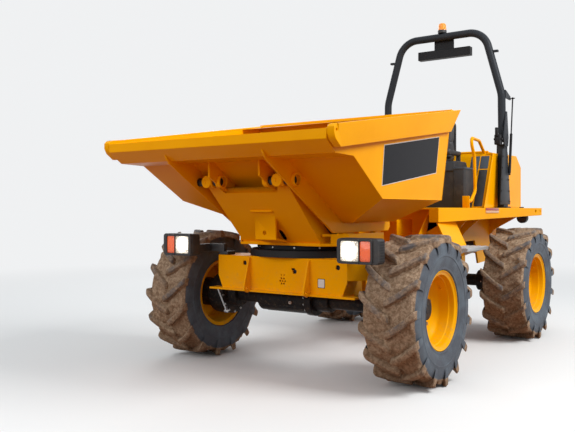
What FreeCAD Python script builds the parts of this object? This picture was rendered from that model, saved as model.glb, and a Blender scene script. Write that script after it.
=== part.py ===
"""Swivel-skip site dumper, modelled as separate pieces in millimetres.

+Z is up, the machine faces -Y and +X is its left side. Lengths along the machine are first measured
rearwards from the front axle, and every finished piece is moved by FRONT_AXLE_Y at the end, so that
the origin lies under the middle of the whole machine, on the ground.
"""
import FreeCAD, Part
import math
import os
from FreeCAD import Vector

# Whole machine
WHEELBASE = 2264.0
TRACK = 1965.0
FRONT_REACH = 1130.0        # front axle to the skip's lip
REAR_REACH = 3340.0         # front axle to the platform's rear edge
AXLE_HEIGHT = 525.0
FRONT_AXLE_Y = (FRONT_REACH - REAR_REACH) / 2
SEAT_GAP = 0.3              # between pieces that rest on each other
RUN_GAP = 1.0               # round a pin that turns in a bore
SIDE_GAP = 6.0              # between plates that swing past each other

# Wheels
TYRE_RADIUS = 525.0
TYRE_WIDTH = 405.0
TREAD_RADIUS = 478.0
LUGS_PER_SIDE = 15
LUG_WIDTH = 50.0
LUG_LAP = 12.0              # how far a lug runs past the tyre's middle
LUG_TURN = 78.0             # how far a lug runs round the tyre
SHOULDER_HALF = 182.0
SIDEWALL_HALF, SIDEWALL_RADIUS = 197.0, 395.0
BEAD_RADIUS = 256.0
BEAD_WIDTH = 330.0
FLANGE_RADIUS = 277.5
RIM_WIDTH = 355.0
RIM_WALL = 9.0
DISC_SETBACK = 127.0
HUB_RADIUS = 118.0
HUB_CAP_RADIUS = 76.0
HUB_LENGTH = 204.0          # from the disc inwards
SPINDLE_RADIUS = 60.0
BRAKE_RADIUS = 165.0
RIM_FLATS = 16

# Centre pivot and steering rams
PIVOT_Y = 1130.0
PIVOT_PIN_RADIUS = 35.0
TONGUE_LOW, TONGUE_HIGH = 520.0, 680.0
LUG_PLATE = 30.0
RAM_HEIGHT = 600.0
RAM_REAR = (300.0, 1500.0)
RAM_FRONT = (280.0, 750.0)
RAM_RADIUS = 34.0
RAM_ROD_RADIUS = 17.0
RAM_EYE_RADIUS = 30.0
RAM_PIN_RADIUS = 14.0

# Front frame
BEAM_FRONT = -310.0
BEAM_HALF = 585.0
BEAM_CORNER = (700.0, -150.0)  # where the beam's angled end stops
BEAM_LOW, BEAM_TOP = 610.0, 865.0
PLATE = 15.0
TOW_EYE = (-358.0, 622.0)
TOW_EYE_RADIUS = 12.0
SPINE_LOW = 660.0
RING_Y = 120.0
RING_RADIUS = 420.0
RING_HEIGHT = 90.0
RING_FLATS = 30

# Swivel frame and skip pivot
BASE_PLATE = 20.0
BASE_Z = BEAM_TOP + RING_HEIGHT
FRAME_HALF = 354.0
HORN_INNER = 266.0
FRAME_FOOT_Y = -286.0
FRAME_SLOPE = 0.99          # rise of the leaning front plate for each length forward
FRAME_PLATE_TOP = 1340.0    # the notch between the horns
NOTCH_HALF = 234.0
HORN_TOP = 1380.0
TIP_Y, TIP_Z = -725.0, 1418.0
TIP_BOSS_RADIUS = 44.0
TIP_PIN_RADIUS = 30.0
EAR_RADIUS = 48.0
PAD_HALF = 93.0             # the small bent plate on the middle of the leaning front

# Skip
SKIP_WALL = 8.0
SKIP_BOTTOM = 1125.0
SKIP_KNEE_Z = 1295.0
LIP_TOP = 1695.0
SKIP_BOTTOM_HALF, SKIP_KNEE_HALF, SKIP_TOP_HALF = 500.0, 900.0, 935.0
RAIL_WIDTH = 50.0
RAIL_HALF = SKIP_TOP_HALF + RAIL_WIDTH
RIB_INNER_X, RIB_OUTER_X = 212.0, 410.0
RIB_PLATE = 15.0
RAIL_FOOT = 1050.0

# Tipping ram
TIP_RAM_BASE = (-250.0, 1040.0)
TIP_RAM_HEAD = (570.0, 1060.0)
TIP_RAM_RADIUS = 48.0
TIP_ROD_RADIUS = 28.0
TIP_EYE_RADIUS = 34.0

# Rear frame and platform
FRAME_SIDE_X = 450.0
DECK_TOP = 1237.0
DECK_PLATE = 18.0
DECK_FRONT_Y = 1220.0
DECK_FRONT_HALF, DECK_REAR_HALF = 612.0, 905.0
DECK_BEAM_WIDTH = 90.0
DECK_EYE_RADIUS = 11.0
DECK_FRONT_DEPTH, DECK_REAR_DEPTH = 129.0, 78.0

# Engine cowl, cover and seat
ENGINE_BAY = (560.0, 2640.0, REAR_REACH - 40)
COWL_REAR_Y = REAR_REACH - 2
COWL_REAR_TOP = 1683.0
COWL_SLOPE_Y = REAR_REACH - 160  # where the cowl's roof starts to fall to the rear
ENGINE_BLOCK = (230.0, REAR_REACH - 680, REAR_REACH - 110)
ENGINE_LOW, ENGINE_TOP = 800.0, 1560.0
TAIL_LAMP_LOW = 1040.0
COWL_TOP = 1800.0
COWL_HALF = 680.0
COWL_FRONT_HALF = 640.0
COWL_RECESS_HALF = 602.0
COWL_SKIN = 12.0
COVER_HALF = 575.0
COVER_SKIN = 12.0
COVER_HINGE_Y = 2590.0
SEAT_Z = 1640.0

# Roll frame
ROPS_Y = 2760.0
ROPS_HINGE_Z = 1960.0
ROPS_X = 660.0
ROPS_TUBE = 40.0
ROPS_TOP = 3105.0
POST_WIDTH = 84.0
POST_FOOT_DEPTH, POST_TOP_DEPTH = 134.0, 94.0
STRUT_X = 725.0
STRUT_LOW = (2800.0, 1590.0)
STRUT_HIGH = (2905.0, 2390.0)
STRUT_RADIUS = 14.0
STRUT_ROD_RADIUS = 7.0
STRUT_PIN_RADIUS = 5.0

SIDES = (1, -1)


def box(x0, x1, y0, y1, z0, z1):
    """A block between two corners, given in any order."""
    lows = [min(x0, x1), min(y0, y1), min(z0, z1)]
    return Part.makeBox(abs(x1 - x0), abs(y1 - y0), abs(z1 - z0), Vector(*lows))


def flats(radius):
    """How many flats stand for a round form: a finer one for a larger radius."""
    for limit, count in ((18, 10), (32, 12), (120, 16), (250, 20)):
        if radius <= limit:
            return count
    return 36


def round_outline(centre, line, radius, count):
    """The corners of a round section across a line, the same for both senses of the line."""
    aside = line.cross(Vector(0, 0, 1) if abs(line.z) < 0.9 else Vector(0, 1, 0))
    aside.normalize()
    up = line.cross(aside)
    up.normalize()
    turns = [2 * math.pi * number / count for number in range(count)]
    return [centre + aside * (radius * math.cos(turn)) + up * (radius * math.sin(turn)) for turn in turns]


def rod(start, end, radius, end_radius=None, count=None):
    """A round bar between two points, straight or tapered, in flat steps that keep its facets few."""
    a, b = Vector(*start), Vector(*end)
    count = count or flats(radius)
    foot = round_outline(a, b - a, radius, count)
    base = Part.makePolygon(foot + foot[:1])
    if end_radius is None:
        return Part.Face(base).extrude(b - a)
    head = round_outline(b, b - a, end_radius, count)
    return Part.makeLoft([base, Part.makePolygon(head + head[:1])], True, True)


def bore(start, end, radius):
    """A truly round hole to cut, for what another part is fastened in."""
    a, b = Vector(*start), Vector(*end)
    return Part.makeCylinder(radius, (b - a).Length, a, b - a)


def along_x(x0, x1, y, z, radius, count=None):
    """A round bar across the machine."""
    return rod((min(x0, x1), y, z), (max(x0, x1), y, z), radius, count=count)


def clear_radius(radius, gap):
    """The radius of a flat-stepped hole whose flats stay a gap away from a bar of that radius."""
    return (radius + gap) / math.cos(math.pi / flats(radius + gap))


def prism(points, direction):
    """A flat outline pushed along a direction."""
    loop = [Vector(*p) for p in points]
    return Part.Face(Part.makePolygon(loop + loop[:1])).extrude(Vector(*direction))


def side_plate(points, x0, x1):
    """An outline of (y, z) points, as thick as x0 to x1."""
    low, high = min(x0, x1), max(x0, x1)
    return prism([(low, y, z) for y, z in points], (high - low, 0, 0))


def flat_plate(points, z0, z1):
    """An outline of (x, y) points, as thick as z0 to z1."""
    return prism([(x, y, z0) for x, y in points], (0, 0, z1 - z0))


def cross_plate(points, y0, y1):
    """An outline of (x, z) points, as thick as y0 to y1."""
    return prism([(x, y0, z) for x, z in points], (0, y1 - y0, 0))


def mirrored(points):
    """The (x, y) or (x, z) points of one side, closed by the same points on the other."""
    return list(points) + [(-a, b) for a, b in reversed(points)]


def hexahedron(front, rear):
    """A block between two four-cornered ends, each given as (x, y, z) points in the same order.

    The faces between the ends are folded along a diagonal, so that every face is flat.
    """
    near, far = ([Vector(*p) for p in end] for end in (front, rear))
    loops = [near, far]
    for k in range(4):
        after = (k + 1) % 4
        loops += [[near[k], near[after], far[k]], [near[after], far[after], far[k]]]
    solid = Part.Solid(Part.Shell([Part.Face(Part.makePolygon(loop + loop[:1])) for loop in loops]))
    return solid if solid.Volume > 0 else solid.reversed()


def fuse(*solids):
    """One piece made of several that overlap or touch."""
    first, rest = solids[0], list(solids[1:])
    return (first.fuse(rest) if rest else first).removeSplitter()


def both_sides(solid):
    """The solid and its mirror image on the other side of the machine."""
    return [solid, solid.mirror(Vector(0, 0, 0), Vector(1, 0, 0))]


def lathe(profile, count, closed=True):
    """A wheel-shaped solid: (x, radius) points carried round the X axis in flat steps.

    An open profile starts and ends on the axis, and its end faces are flat.
    """
    def corner(x, radius, turn):
        angle = 2 * math.pi * turn / count
        return Vector(x, radius * math.sin(angle), -radius * math.cos(angle))

    faces = []
    following = profile[1:] + profile[:1] if closed else profile[1:]
    for (x0, r0), (x1, r1) in zip(profile, following):
        if min(r0, r1) == 0:
            rims = [[corner(x0, max(r0, r1), turn) for turn in range(count)]]
        else:
            rims = [[corner(x0, r0, turn), corner(x1, r1, turn), corner(x1, r1, turn + 1), corner(x0, r0, turn + 1)]
                    for turn in range(count)]
        faces += [Part.Face(Part.makePolygon(rim + rim[:1])) for rim in rims]
    solid = Part.Solid(Part.Shell(faces))
    return solid if solid.Volume > 0 else solid.reversed()


def bent_line(points, bends):
    """The stations of a line whose corners are rounded: one (radius, steps) pair for each corner."""
    stops = [Vector(*p) for p in points]
    stations = [stops[0]]
    for before, corner, after, (radius, steps) in zip(stops, stops[1:], stops[2:], bends):
        back = (before - corner).normalize()
        ahead = (after - corner).normalize()
        half = back.getAngle(ahead) / 2
        centre = corner + (back + ahead).normalize() * (radius / math.sin(half))
        first = corner + back * (radius / math.tan(half)) - centre
        last = corner + ahead * (radius / math.tan(half)) - centre
        sweep = first.getAngle(last)
        for step in range(steps + 1):
            share = step / steps
            weight = math.sin((1 - share) * sweep) / math.sin(sweep), math.sin(share * sweep) / math.sin(sweep)
            stations.append(centre + first * weight[0] + last * weight[1])
    return stations + [stops[-1]]


def tube(points, radius, bends, count):
    """A round tube along a bent line, mitred at each station so that every face is flat."""
    stations = bent_line(points, bends)
    runs = [(after - before).normalize() for before, after in zip(stations, stations[1:])]
    section = round_outline(stations[0], runs[0], radius, count)
    faces = [Part.Face(Part.makePolygon(section + section[:1]))]
    for number, run in enumerate(runs):
        station = stations[number + 1]
        across = run + (runs[number + 1] if number + 1 < len(runs) else run)
        ahead = [p + run * ((station - p).dot(across) / run.dot(across)) for p in section]
        for k in range(count):
            near = (k + 1) % count
            loop = [section[k], section[near], ahead[near], ahead[k]]
            faces.append(Part.Face(Part.makePolygon(loop + loop[:1])))
        section = ahead
    faces.append(Part.Face(Part.makePolygon(section + section[:1])))
    solid = Part.Solid(Part.Shell(faces))
    return solid if solid.Volume > 0 else solid.reversed()


PIECES = {}


def keep(name, shape):
    """Files a finished piece under its node's name."""
    PIECES[name] = shape


# Wheels, made once at the origin with their outer face towards +X

LUG_HALF_WIDTH = LUG_WIDTH / 2
LUG_END_OFFSET = LUG_TURN + LUG_HALF_WIDTH
LUG_TOP = math.sqrt(TYRE_RADIUS ** 2 - LUG_END_OFFSET ** 2)
LUG_FOOT = TREAD_RADIUS - 28


def lug(side, turn):
    """One tread bar, from just past the tyre's middle out to its shoulder."""
    inner, outer = -side * LUG_LAP, side * TYRE_WIDTH / 2
    plan = [(inner, LUG_TURN + LUG_HALF_WIDTH), (outer, LUG_HALF_WIDTH - LUG_TURN),
            (outer, -LUG_TURN - LUG_HALF_WIDTH), (inner, LUG_TURN - LUG_HALF_WIDTH)]
    bar = prism([(x, s, -LUG_FOOT) for x, s in plan], (0, 0, LUG_FOOT - LUG_TOP))
    bar.rotate(Vector(0, 0, 0), Vector(1, 0, 0), turn)
    return bar


def make_tyre():
    """A solid tyre with its bars, its lowest bar corner straight below the hub."""
    flange_rise = FLANGE_RADIUS - BEAD_RADIUS
    splay = (SIDEWALL_HALF - BEAD_WIDTH / 2) / (SIDEWALL_RADIUS - FLANGE_RADIUS)
    half_bead = BEAD_WIDTH / 2 - SEAT_GAP - flange_rise * splay
    half = [(half_bead, BEAD_RADIUS), (SIDEWALL_HALF, SIDEWALL_RADIUS), (SHOULDER_HALF, TREAD_RADIUS)]
    loop = half + [(-x, r) for x, r in reversed(half)]
    body = lathe(loop, 2 * LUGS_PER_SIDE)
    pitch = 360.0 / LUGS_PER_SIDE
    bars = [lug(side, pitch * (number + (0.5 if side < 0 else 0.0)))
            for side in SIDES for number in range(LUGS_PER_SIDE)]
    tyre = body.fuse(bars).removeSplitter()
    level = math.degrees(math.atan2(LUG_END_OFFSET, LUG_TOP))
    tyre.rotate(Vector(0, 0, 0), Vector(1, 0, 0), level)
    return tyre


def make_rim():
    """A flanged rim, its dished disc and the final-drive hub bolted in it, hollow for the axle's spindle."""
    edge, bead = RIM_WIDTH / 2, BEAD_WIDTH / 2
    barrel, inner = BEAD_RADIUS - 1.5, BEAD_RADIUS - 10.0
    disc = edge - DISC_SETBACK
    hub_back = disc - HUB_LENGTH
    profile = [(disc + 24, 0), (disc + 24, HUB_CAP_RADIUS), (disc - 40, HUB_CAP_RADIUS + 12), (disc - 40, 175),
               (disc, inner), (edge - RIM_WALL, inner), (edge, FLANGE_RADIUS), (bead, FLANGE_RADIUS), (bead, barrel),
               (-bead, barrel), (-bead, FLANGE_RADIUS), (-edge, FLANGE_RADIUS), (RIM_WALL - edge, inner),
               (disc - 16, inner), (disc - 54, HUB_RADIUS), (hub_back, HUB_RADIUS),
               (hub_back, SPINDLE_RADIUS + RUN_GAP), (disc - 74, SPINDLE_RADIUS + RUN_GAP), (disc - 74, 0)]
    return lathe(profile, RIM_FLATS, closed=False)


TYRE, RIM = make_tyre(), make_rim()
CORNERS = {"front_left": (1, 0.0), "front_right": (-1, 0.0),
           "rear_left": (1, WHEELBASE), "rear_right": (-1, WHEELBASE)}
for corner_name, (side, axle_y) in CORNERS.items():
    for piece_name, model in (("tyre", TYRE), ("rim", RIM)):
        shape = model.copy() if side > 0 else model.mirror(Vector(0, 0, 0), Vector(1, 0, 0))
        shape.translate(Vector(side * TRACK / 2, axle_y, AXLE_HEIGHT))
        keep(piece_name + "_" + corner_name, shape)


# Axles

HUB_BACK_X = TRACK / 2 + RIM_WIDTH / 2 - DISC_SETBACK - HUB_LENGTH
AXLE_TUBE_RADIUS = 58.0
AXLE_HOUSING_RADIUS = 108.0
AXLE_FLATS = 12
AXLE_PAD_X = (392.0, 500.0)
AXLE_PAD_HALF = 60.0


def make_axle(housing_low, housing_high):
    """A drive axle: tubes, an offset differential housing and the brake housings at the wheels."""
    brake_end = HUB_BACK_X - SIDE_GAP
    bars = [(-brake_end, brake_end, AXLE_TUBE_RADIUS), (housing_low, housing_high, AXLE_HOUSING_RADIUS),
            (housing_high, housing_high + 60, AXLE_HOUSING_RADIUS + 14), (housing_high, housing_high + 190, 84.0)]
    for side in SIDES:
        bars.append((side * (brake_end - 150), side * brake_end, BRAKE_RADIUS))
        bars.append((side * (brake_end - 230), side * brake_end, 100.0))
        bars.append((side * brake_end, side * (HUB_BACK_X + 110), SPINDLE_RADIUS - SEAT_GAP - 1))
    parts = [along_x(x0, x1, 0, 0, radius, AXLE_FLATS) for x0, x1, radius in bars]
    return fuse(*parts)


AXLES = {"front_axle": (0.0, -360.0, 90.0), "rear_axle": (WHEELBASE, -220.0, 160.0)}
for axle_name, (axle_y, housing_low, housing_high) in AXLES.items():
    shape = make_axle(housing_low, housing_high)
    shape.translate(Vector(0, axle_y, AXLE_HEIGHT))
    keep(axle_name, shape)


# Front frame: cross beam, spine and the tongue that takes the centre pivot

AXLE_PAD_LOW = AXLE_HEIGHT + AXLE_TUBE_RADIUS + SEAT_GAP


def make_front_frame():
    """The yellow frame over the front axle."""
    lower_half = BEAM_HALF - 40
    face = mirrored([(lower_half, BEAM_LOW), (BEAM_HALF, BEAM_LOW + 95), (BEAM_HALF, BEAM_TOP)])
    front = cross_plate(face, BEAM_FRONT, BEAM_FRONT + PLATE)
    holes = [(-323, 811, 12), (137, 763, 15), (510, 811, 12), (-510, 811, 12)]
    cuts = [rod((x, BEAM_FRONT - 5, z), (x, BEAM_FRONT + PLATE + 5, z), r) for x, z, r in holes]
    front = front.cut(cuts)
    top = flat_plate(mirrored([(BEAM_HALF, BEAM_FRONT), BEAM_CORNER, (BEAM_CORNER[0], -60), (430, 20), (430, 560)]),
                     BEAM_TOP - PLATE, BEAM_TOP)
    cheek = [(BEAM_HALF, BEAM_FRONT), BEAM_CORNER, (BEAM_CORNER[0] - PLATE, BEAM_CORNER[1]),
             (BEAM_HALF - PLATE, BEAM_FRONT + PLATE)]
    cheeks = both_sides(flat_plate(cheek, BEAM_LOW + 110, BEAM_TOP - 1))
    flange = box(-660, 660, BEAM_FRONT - 25, BEAM_FRONT + 70, BEAM_LOW - PLATE, BEAM_LOW)
    ends = both_sides(side_plate([(BEAM_FRONT, BEAM_LOW), (BEAM_FRONT, BEAM_TOP), (-30, BEAM_TOP),
                                  (-30, BEAM_TOP - 90), (-150, BEAM_LOW)], lower_half - PLATE, lower_half))
    spine_plan = mirrored([(250, BEAM_FRONT + PLATE), (250, 500), (200, 760), (120, 930)])
    hollow_plan = mirrored([(235, BEAM_FRONT + PLATE), (235, 497), (186, 750), (112, 900)])
    spine = flat_plate(spine_plan, SPINE_LOW, BEAM_TOP - PLATE)
    spine = spine.cut(flat_plate(hollow_plan, SPINE_LOW - 1, BEAM_TOP - 2 * PLATE))
    tongue = flat_plate(mirrored([(125, 800), (66, PIVOT_Y)]), TONGUE_LOW, TONGUE_HIGH)
    nose = rod((0, PIVOT_Y, TONGUE_LOW), (0, PIVOT_Y, TONGUE_HIGH), 70.0)
    web = box(-118, 118, 800, 900, TONGUE_LOW, BEAM_TOP - PLATE)
    parts = [front, top, flange, spine, tongue, nose, web] + ends + cheeks
    for side in SIDES:
        gusset = side_plate([(BEAM_FRONT, BEAM_TOP - 8), (BEAM_FRONT - 18, BEAM_TOP - 8), (-392, 640),
                             (-392, 605), (-345, 588), (BEAM_FRONT, 605)], side * 262, side * 277)
        y, z = TOW_EYE
        parts.append(gusset.cut(bore((side * 255, y, z), (side * 285, y, z), TOW_EYE_RADIUS)))
        pad = box(side * AXLE_PAD_X[0], side * AXLE_PAD_X[1], -AXLE_PAD_HALF, AXLE_PAD_HALF, AXLE_PAD_LOW,
                  BEAM_TOP - PLATE)
        parts.append(pad)
        x, y = RAM_FRONT
        for low in (RAM_HEIGHT + 42, RAM_HEIGHT - 57):
            arm = flat_plate([(side * 150, y - 90), (side * (x + 20), y - 42), (side * (x + 44), y),
                              (side * (x + 20), y + 40), (side * 150, y + 60)], low, low + PLATE)
            parts.append(arm)
            parts.append(rod((side * x, y, low), (side * x, y, low + PLATE + (6 if low > RAM_HEIGHT else 0)), 22))
        parts.append(box(side * 150, side * 205, y - 90, y + 60, RAM_HEIGHT - 57, SPINE_LOW + 60))
    frame = fuse(*parts)
    hole = rod((0, PIVOT_Y, TONGUE_LOW - 5), (0, PIVOT_Y, TONGUE_HIGH + 5), PIVOT_PIN_RADIUS + RUN_GAP)
    return frame.cut(hole)


keep("front_frame", make_front_frame())


def make_slew_ring():
    """The bearing between the front frame and the swivel frame: two flanges and a waist."""
    low, high = BEAM_TOP, BASE_Z - SEAT_GAP
    steps = ((low, low + 34, RING_RADIUS), (low, high, RING_RADIUS - 14), (high - 34, high, RING_RADIUS - 3),
             (low - 1, high + 1, RING_RADIUS - 80))
    lower, waist, upper, hole = (rod((0, RING_Y, a), (0, RING_Y, b), r, count=RING_FLATS) for a, b, r in steps)
    return fuse(lower, waist, upper).cut(hole)


keep("slew_ring", make_slew_ring())

# Lamps on the front beam: x span, y span and z span of the left one
LAMP_X = (650.0, 955.0)
LAMP_Y = (-560.0, -455.0)
LAMP_Z = (862.0, 1033.0)
LENS_X = (677.0, 815.0)
INDICATOR_X = (823.0, 903.0)


def make_headlamps():
    """Black lamp boxes, each with the bar that holds it on the beam."""
    pieces = []
    for side in SIDES:
        (x0, x1), (y0, y1), (z0, z1) = LAMP_X, LAMP_Y, LAMP_Z
        housing = box(side * x0, side * x1, y0, y1, z0, z1)
        for a, b in (LENS_X, INDICATOR_X):
            housing = housing.cut(box(side * (a - 1), side * (b + 1), y0 - 1, y0 + 14, z0 + 17, z1 - 17))
        arm = box(side * (x0 + 25), side * (x0 + 65), y1 - 5, BEAM_FRONT + 50, 890, 950)
        bar = box(side * 540, side * (x0 + 65), BEAM_FRONT + 12, BEAM_FRONT + 50, 890, 950)
        foot = box(side * 505, side * 590, BEAM_FRONT + 12, BEAM_FRONT + 110, BEAM_TOP + SEAT_GAP, 890)
        pieces.append(fuse(housing, arm, bar, foot))
    return Part.makeCompound(pieces)


def make_lenses(span):
    """The clear or orange fronts of the two lamps."""
    a, b = span
    return Part.makeCompound([box(side * a, side * b, LAMP_Y[0] + 1, LAMP_Y[0] + 14 - SEAT_GAP,
                                  LAMP_Z[0] + 18, LAMP_Z[1] - 18) for side in SIDES])


keep("headlamps", make_headlamps())
keep("headlamp_lenses", make_lenses(LENS_X))
keep("indicator_lenses", make_lenses(INDICATOR_X))


# Swivel frame: base plate, leaning front, horns, ram lugs and the blocks the skip rests on

def frame_front_y(z):
    """Where the leaning front plate's face is, at a height."""
    return FRAME_FOOT_Y - (z - BASE_Z - BASE_PLATE) / FRAME_SLOPE


FRAME_FLOOR = BASE_Z + BASE_PLATE
SEAT_BLOCKS_Y = ((-110.0, 50.0), (380.0, 470.0))


def make_swivel_frame():
    """The frame that turns on the slew ring and carries the skip's pivots."""
    base = flat_plate(mirrored([(FRAME_HALF + 6, FRAME_FOOT_Y - 24), (500, -140), (500, 420), (360, 560)]),
                      BASE_Z, FRAME_FLOOR)
    horn_line = [(FRAME_FOOT_Y, FRAME_FLOOR), (frame_front_y(HORN_TOP), HORN_TOP), (TIP_Y - 30, TIP_Z - 32),
                 (TIP_Y - 12, TIP_Z), (TIP_Y + 24, TIP_Z + 37), (TIP_Y + 165, 1358), (-150, 1035),
                 (-150, FRAME_FLOOR)]
    parts = [base]
    for side in SIDES:
        horn = side_plate(horn_line, side * HORN_INNER, side * FRAME_HALF)
        boss = along_x(side * HORN_INNER, side * FRAME_HALF, TIP_Y, TIP_Z, TIP_BOSS_RADIUS)
        parts += [horn, boss]
        for y0, y1 in SEAT_BLOCKS_Y:
            parts.append(box(side * (RIB_OUTER_X - 16), side * (RIB_OUTER_X + RIB_PLATE + 16), y0, y1, FRAME_FLOOR,
                             RAIL_FOOT - SEAT_GAP))
        y, z = TIP_RAM_BASE
        lug_plate = side_plate([(y - 42, FRAME_FLOOR), (y - 26, z + 24), (y + 26, z + 24),
                                (y + 60, FRAME_FLOOR)], side * 56, side * 71)
        parts.append(lug_plate)
    slant = PLATE / math.sin(math.atan(FRAME_SLOPE))
    front = side_plate([(FRAME_FOOT_Y, FRAME_FLOOR), (frame_front_y(HORN_TOP), HORN_TOP),
                        (frame_front_y(HORN_TOP) + slant, HORN_TOP), (FRAME_FOOT_Y + slant, FRAME_FLOOR)],
                       -HORN_INNER, HORN_INNER)
    notch = cross_plate(mirrored([(NOTCH_HALF, FRAME_PLATE_TOP), (HORN_INNER - 1, HORN_TOP + 1)]), -800, -500)
    slot = [rod((56, -500, z), (56, -250, z), 24) for z in (1016, 1050)]
    slot.append(box(32, 80, -500, -250, 1016, 1050))
    front = front.cut([notch] + slot)
    pad = side_plate([(-486, 1173), (-475, 1002), (-330, FRAME_FLOOR), (-330, FRAME_FLOOR + 14), (-461, 1015),
                      (-466, 1156)], -PAD_HALF, PAD_HALF)
    shelf_y = frame_front_y(1215)
    shelf = box(-PAD_HALF - 4, PAD_HALF + 4, shelf_y - 9, shelf_y + 12, 1203, 1215)
    parts += [front, pad, shelf, along_x(-71, 71, TIP_RAM_BASE[0], TIP_RAM_BASE[1], RAM_PIN_RADIUS)]
    frame = fuse(*parts)
    return frame.cut(along_x(-FRAME_HALF - 5, FRAME_HALF + 5, TIP_Y, TIP_Z, TIP_PIN_RADIUS))


keep("swivel_frame", make_swivel_frame())

PIN_ENDS = (RIB_INNER_X, RIB_OUTER_X + RIB_PLATE)
keep("tip_pins", Part.makeCompound([along_x(side * PIN_ENDS[0], side * PIN_ENDS[1], TIP_Y, TIP_Z,
                                            TIP_PIN_RADIUS - SEAT_GAP) for side in SIDES]))


# Skip

SKIP_OUTLINE = [(-FRONT_REACH, 1632), (-FRONT_REACH, LIP_TOP), (718, 1985), (665, 1820), (605, SKIP_KNEE_Z),
                (580, SKIP_BOTTOM), (-90, SKIP_BOTTOM), (-390, SKIP_KNEE_Z), (-800, 1550), (-1020, 1556)]
SKIP_HOLLOW = [(-FRONT_REACH - 1, LIP_TOP - 1), (-786, 1561), (-385, SKIP_KNEE_Z + 10),
               (-87, SKIP_BOTTOM + SKIP_WALL), (573, SKIP_BOTTOM + SKIP_WALL), (597, SKIP_KNEE_Z),
               (657, 1820), (720, 2060), (-1300, 2060), (-1300, LIP_TOP + 80)]


def skip_section(inset):
    """Half of the skip's cross-section, as (x, z), moved inwards by a wall."""
    return [(SKIP_BOTTOM_HALF - inset * 0.4, SKIP_BOTTOM + inset), (SKIP_KNEE_HALF - inset, SKIP_KNEE_Z + inset * 0.8),
            (SKIP_TOP_HALF - inset, 1820), (SKIP_TOP_HALF + 14 - inset, 2100)]


def make_tub():
    """The open tub: side profile and cross-section, intersected, and hollowed the same way."""
    outer = side_plate(SKIP_OUTLINE, -RAIL_HALF, RAIL_HALF)
    outer = outer.common(cross_plate(mirrored(skip_section(0.0)), -1400, 1000))
    inner = side_plate(SKIP_HOLLOW, -RAIL_HALF, RAIL_HALF)
    inner = inner.common(cross_plate(mirrored(skip_section(SKIP_WALL)), -1400, 1000))
    return outer.cut(inner)


TUB = make_tub()
keep("skip_tub", TUB)


def make_skip_rim():
    """The box rails along the sides, the flared band at the back and the ears at the lip."""
    parts = []
    inner = SKIP_TOP_HALF - 2
    for side in SIDES:
        front = [(side * inner, -1050, 1584), (side * (RAIL_HALF - 22), -1050, 1584),
                 (side * RAIL_HALF, -1095, 1720), (side * inner, -1095, 1720)]
        rear = [(side * inner, 645, 1824), (side * (RAIL_HALF - 22), 645, 1824),
                (side * RAIL_HALF, 790, 2009), (side * inner, 790, 2009)]
        rail = hexahedron(front, rear)
        ear = side_plate([(-1050, 1584), (-1112, 1628), (-1130, 1662), (-1130, 1700), (-1112, 1718), (-1060, 1724)],
                         side * (inner - 6), side * (RAIL_HALF - 8))
        parts.append(rail.fuse(ear).cut(along_x(side * (inner - 20), side * (RAIL_HALF + 15), -1100, 1683, 9)))
    back = side_plate([(666, 1830), (680, 1824), (790, 2009), (722, 2009)], -inner, inner)
    return fuse(back, *parts).cut(TUB)


keep("skip_rim", make_skip_rim())


def make_skip_ribs():
    """The plates under the floor that hold the pivots, the ram's head and the resting rails."""
    outer_line = [(-1080, 1597), (-1020, 1556), (-800, 1550), (-390, SKIP_KNEE_Z), (-90, SKIP_BOTTOM),
                  (660, SKIP_BOTTOM), (660, 1078), (632, RAIL_FOOT), (-228, RAIL_FOOT), (-786, 1382), (-1044, 1541),
                  (-1072, 1585)]
    inner_line = [(-850, 1551), (-800, 1550), (-560, 1400.7), (-600, 1356), (-686, 1356), (-845, 1448)]
    parts = []
    for side in SIDES:
        hole = along_x(side * (RIB_INNER_X - 12), side * (RIB_OUTER_X + RIB_PLATE + 12), TIP_Y, TIP_Z,
                       TIP_PIN_RADIUS + RUN_GAP)
        outer = side_plate(outer_line, side * RIB_OUTER_X, side * (RIB_OUTER_X + RIB_PLATE))
        inner = side_plate(inner_line, side * RIB_INNER_X, side * (RIB_INNER_X + RIB_PLATE))
        inner = inner.fuse(along_x(side * RIB_INNER_X, side * (RIB_INNER_X + RIB_PLATE), TIP_Y, TIP_Z, EAR_RADIUS))
        parts += [outer.cut(hole), inner.cut(hole)]
        y, z = TIP_RAM_HEAD
        head = side_plate([(y - 70, SKIP_BOTTOM), (y - 26, z - 26), (y + 26, z - 26), (y + 60, SKIP_BOTTOM)],
                          side * 46, side * 61)
        parts.append(fuse(head, along_x(side * 46, side * 67, y, z, 22)))
    return Part.makeCompound(parts)


keep("skip_ribs", make_skip_ribs())


# Rams, each a barrel with an eye and a rod whose eye has its pin in it

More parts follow.
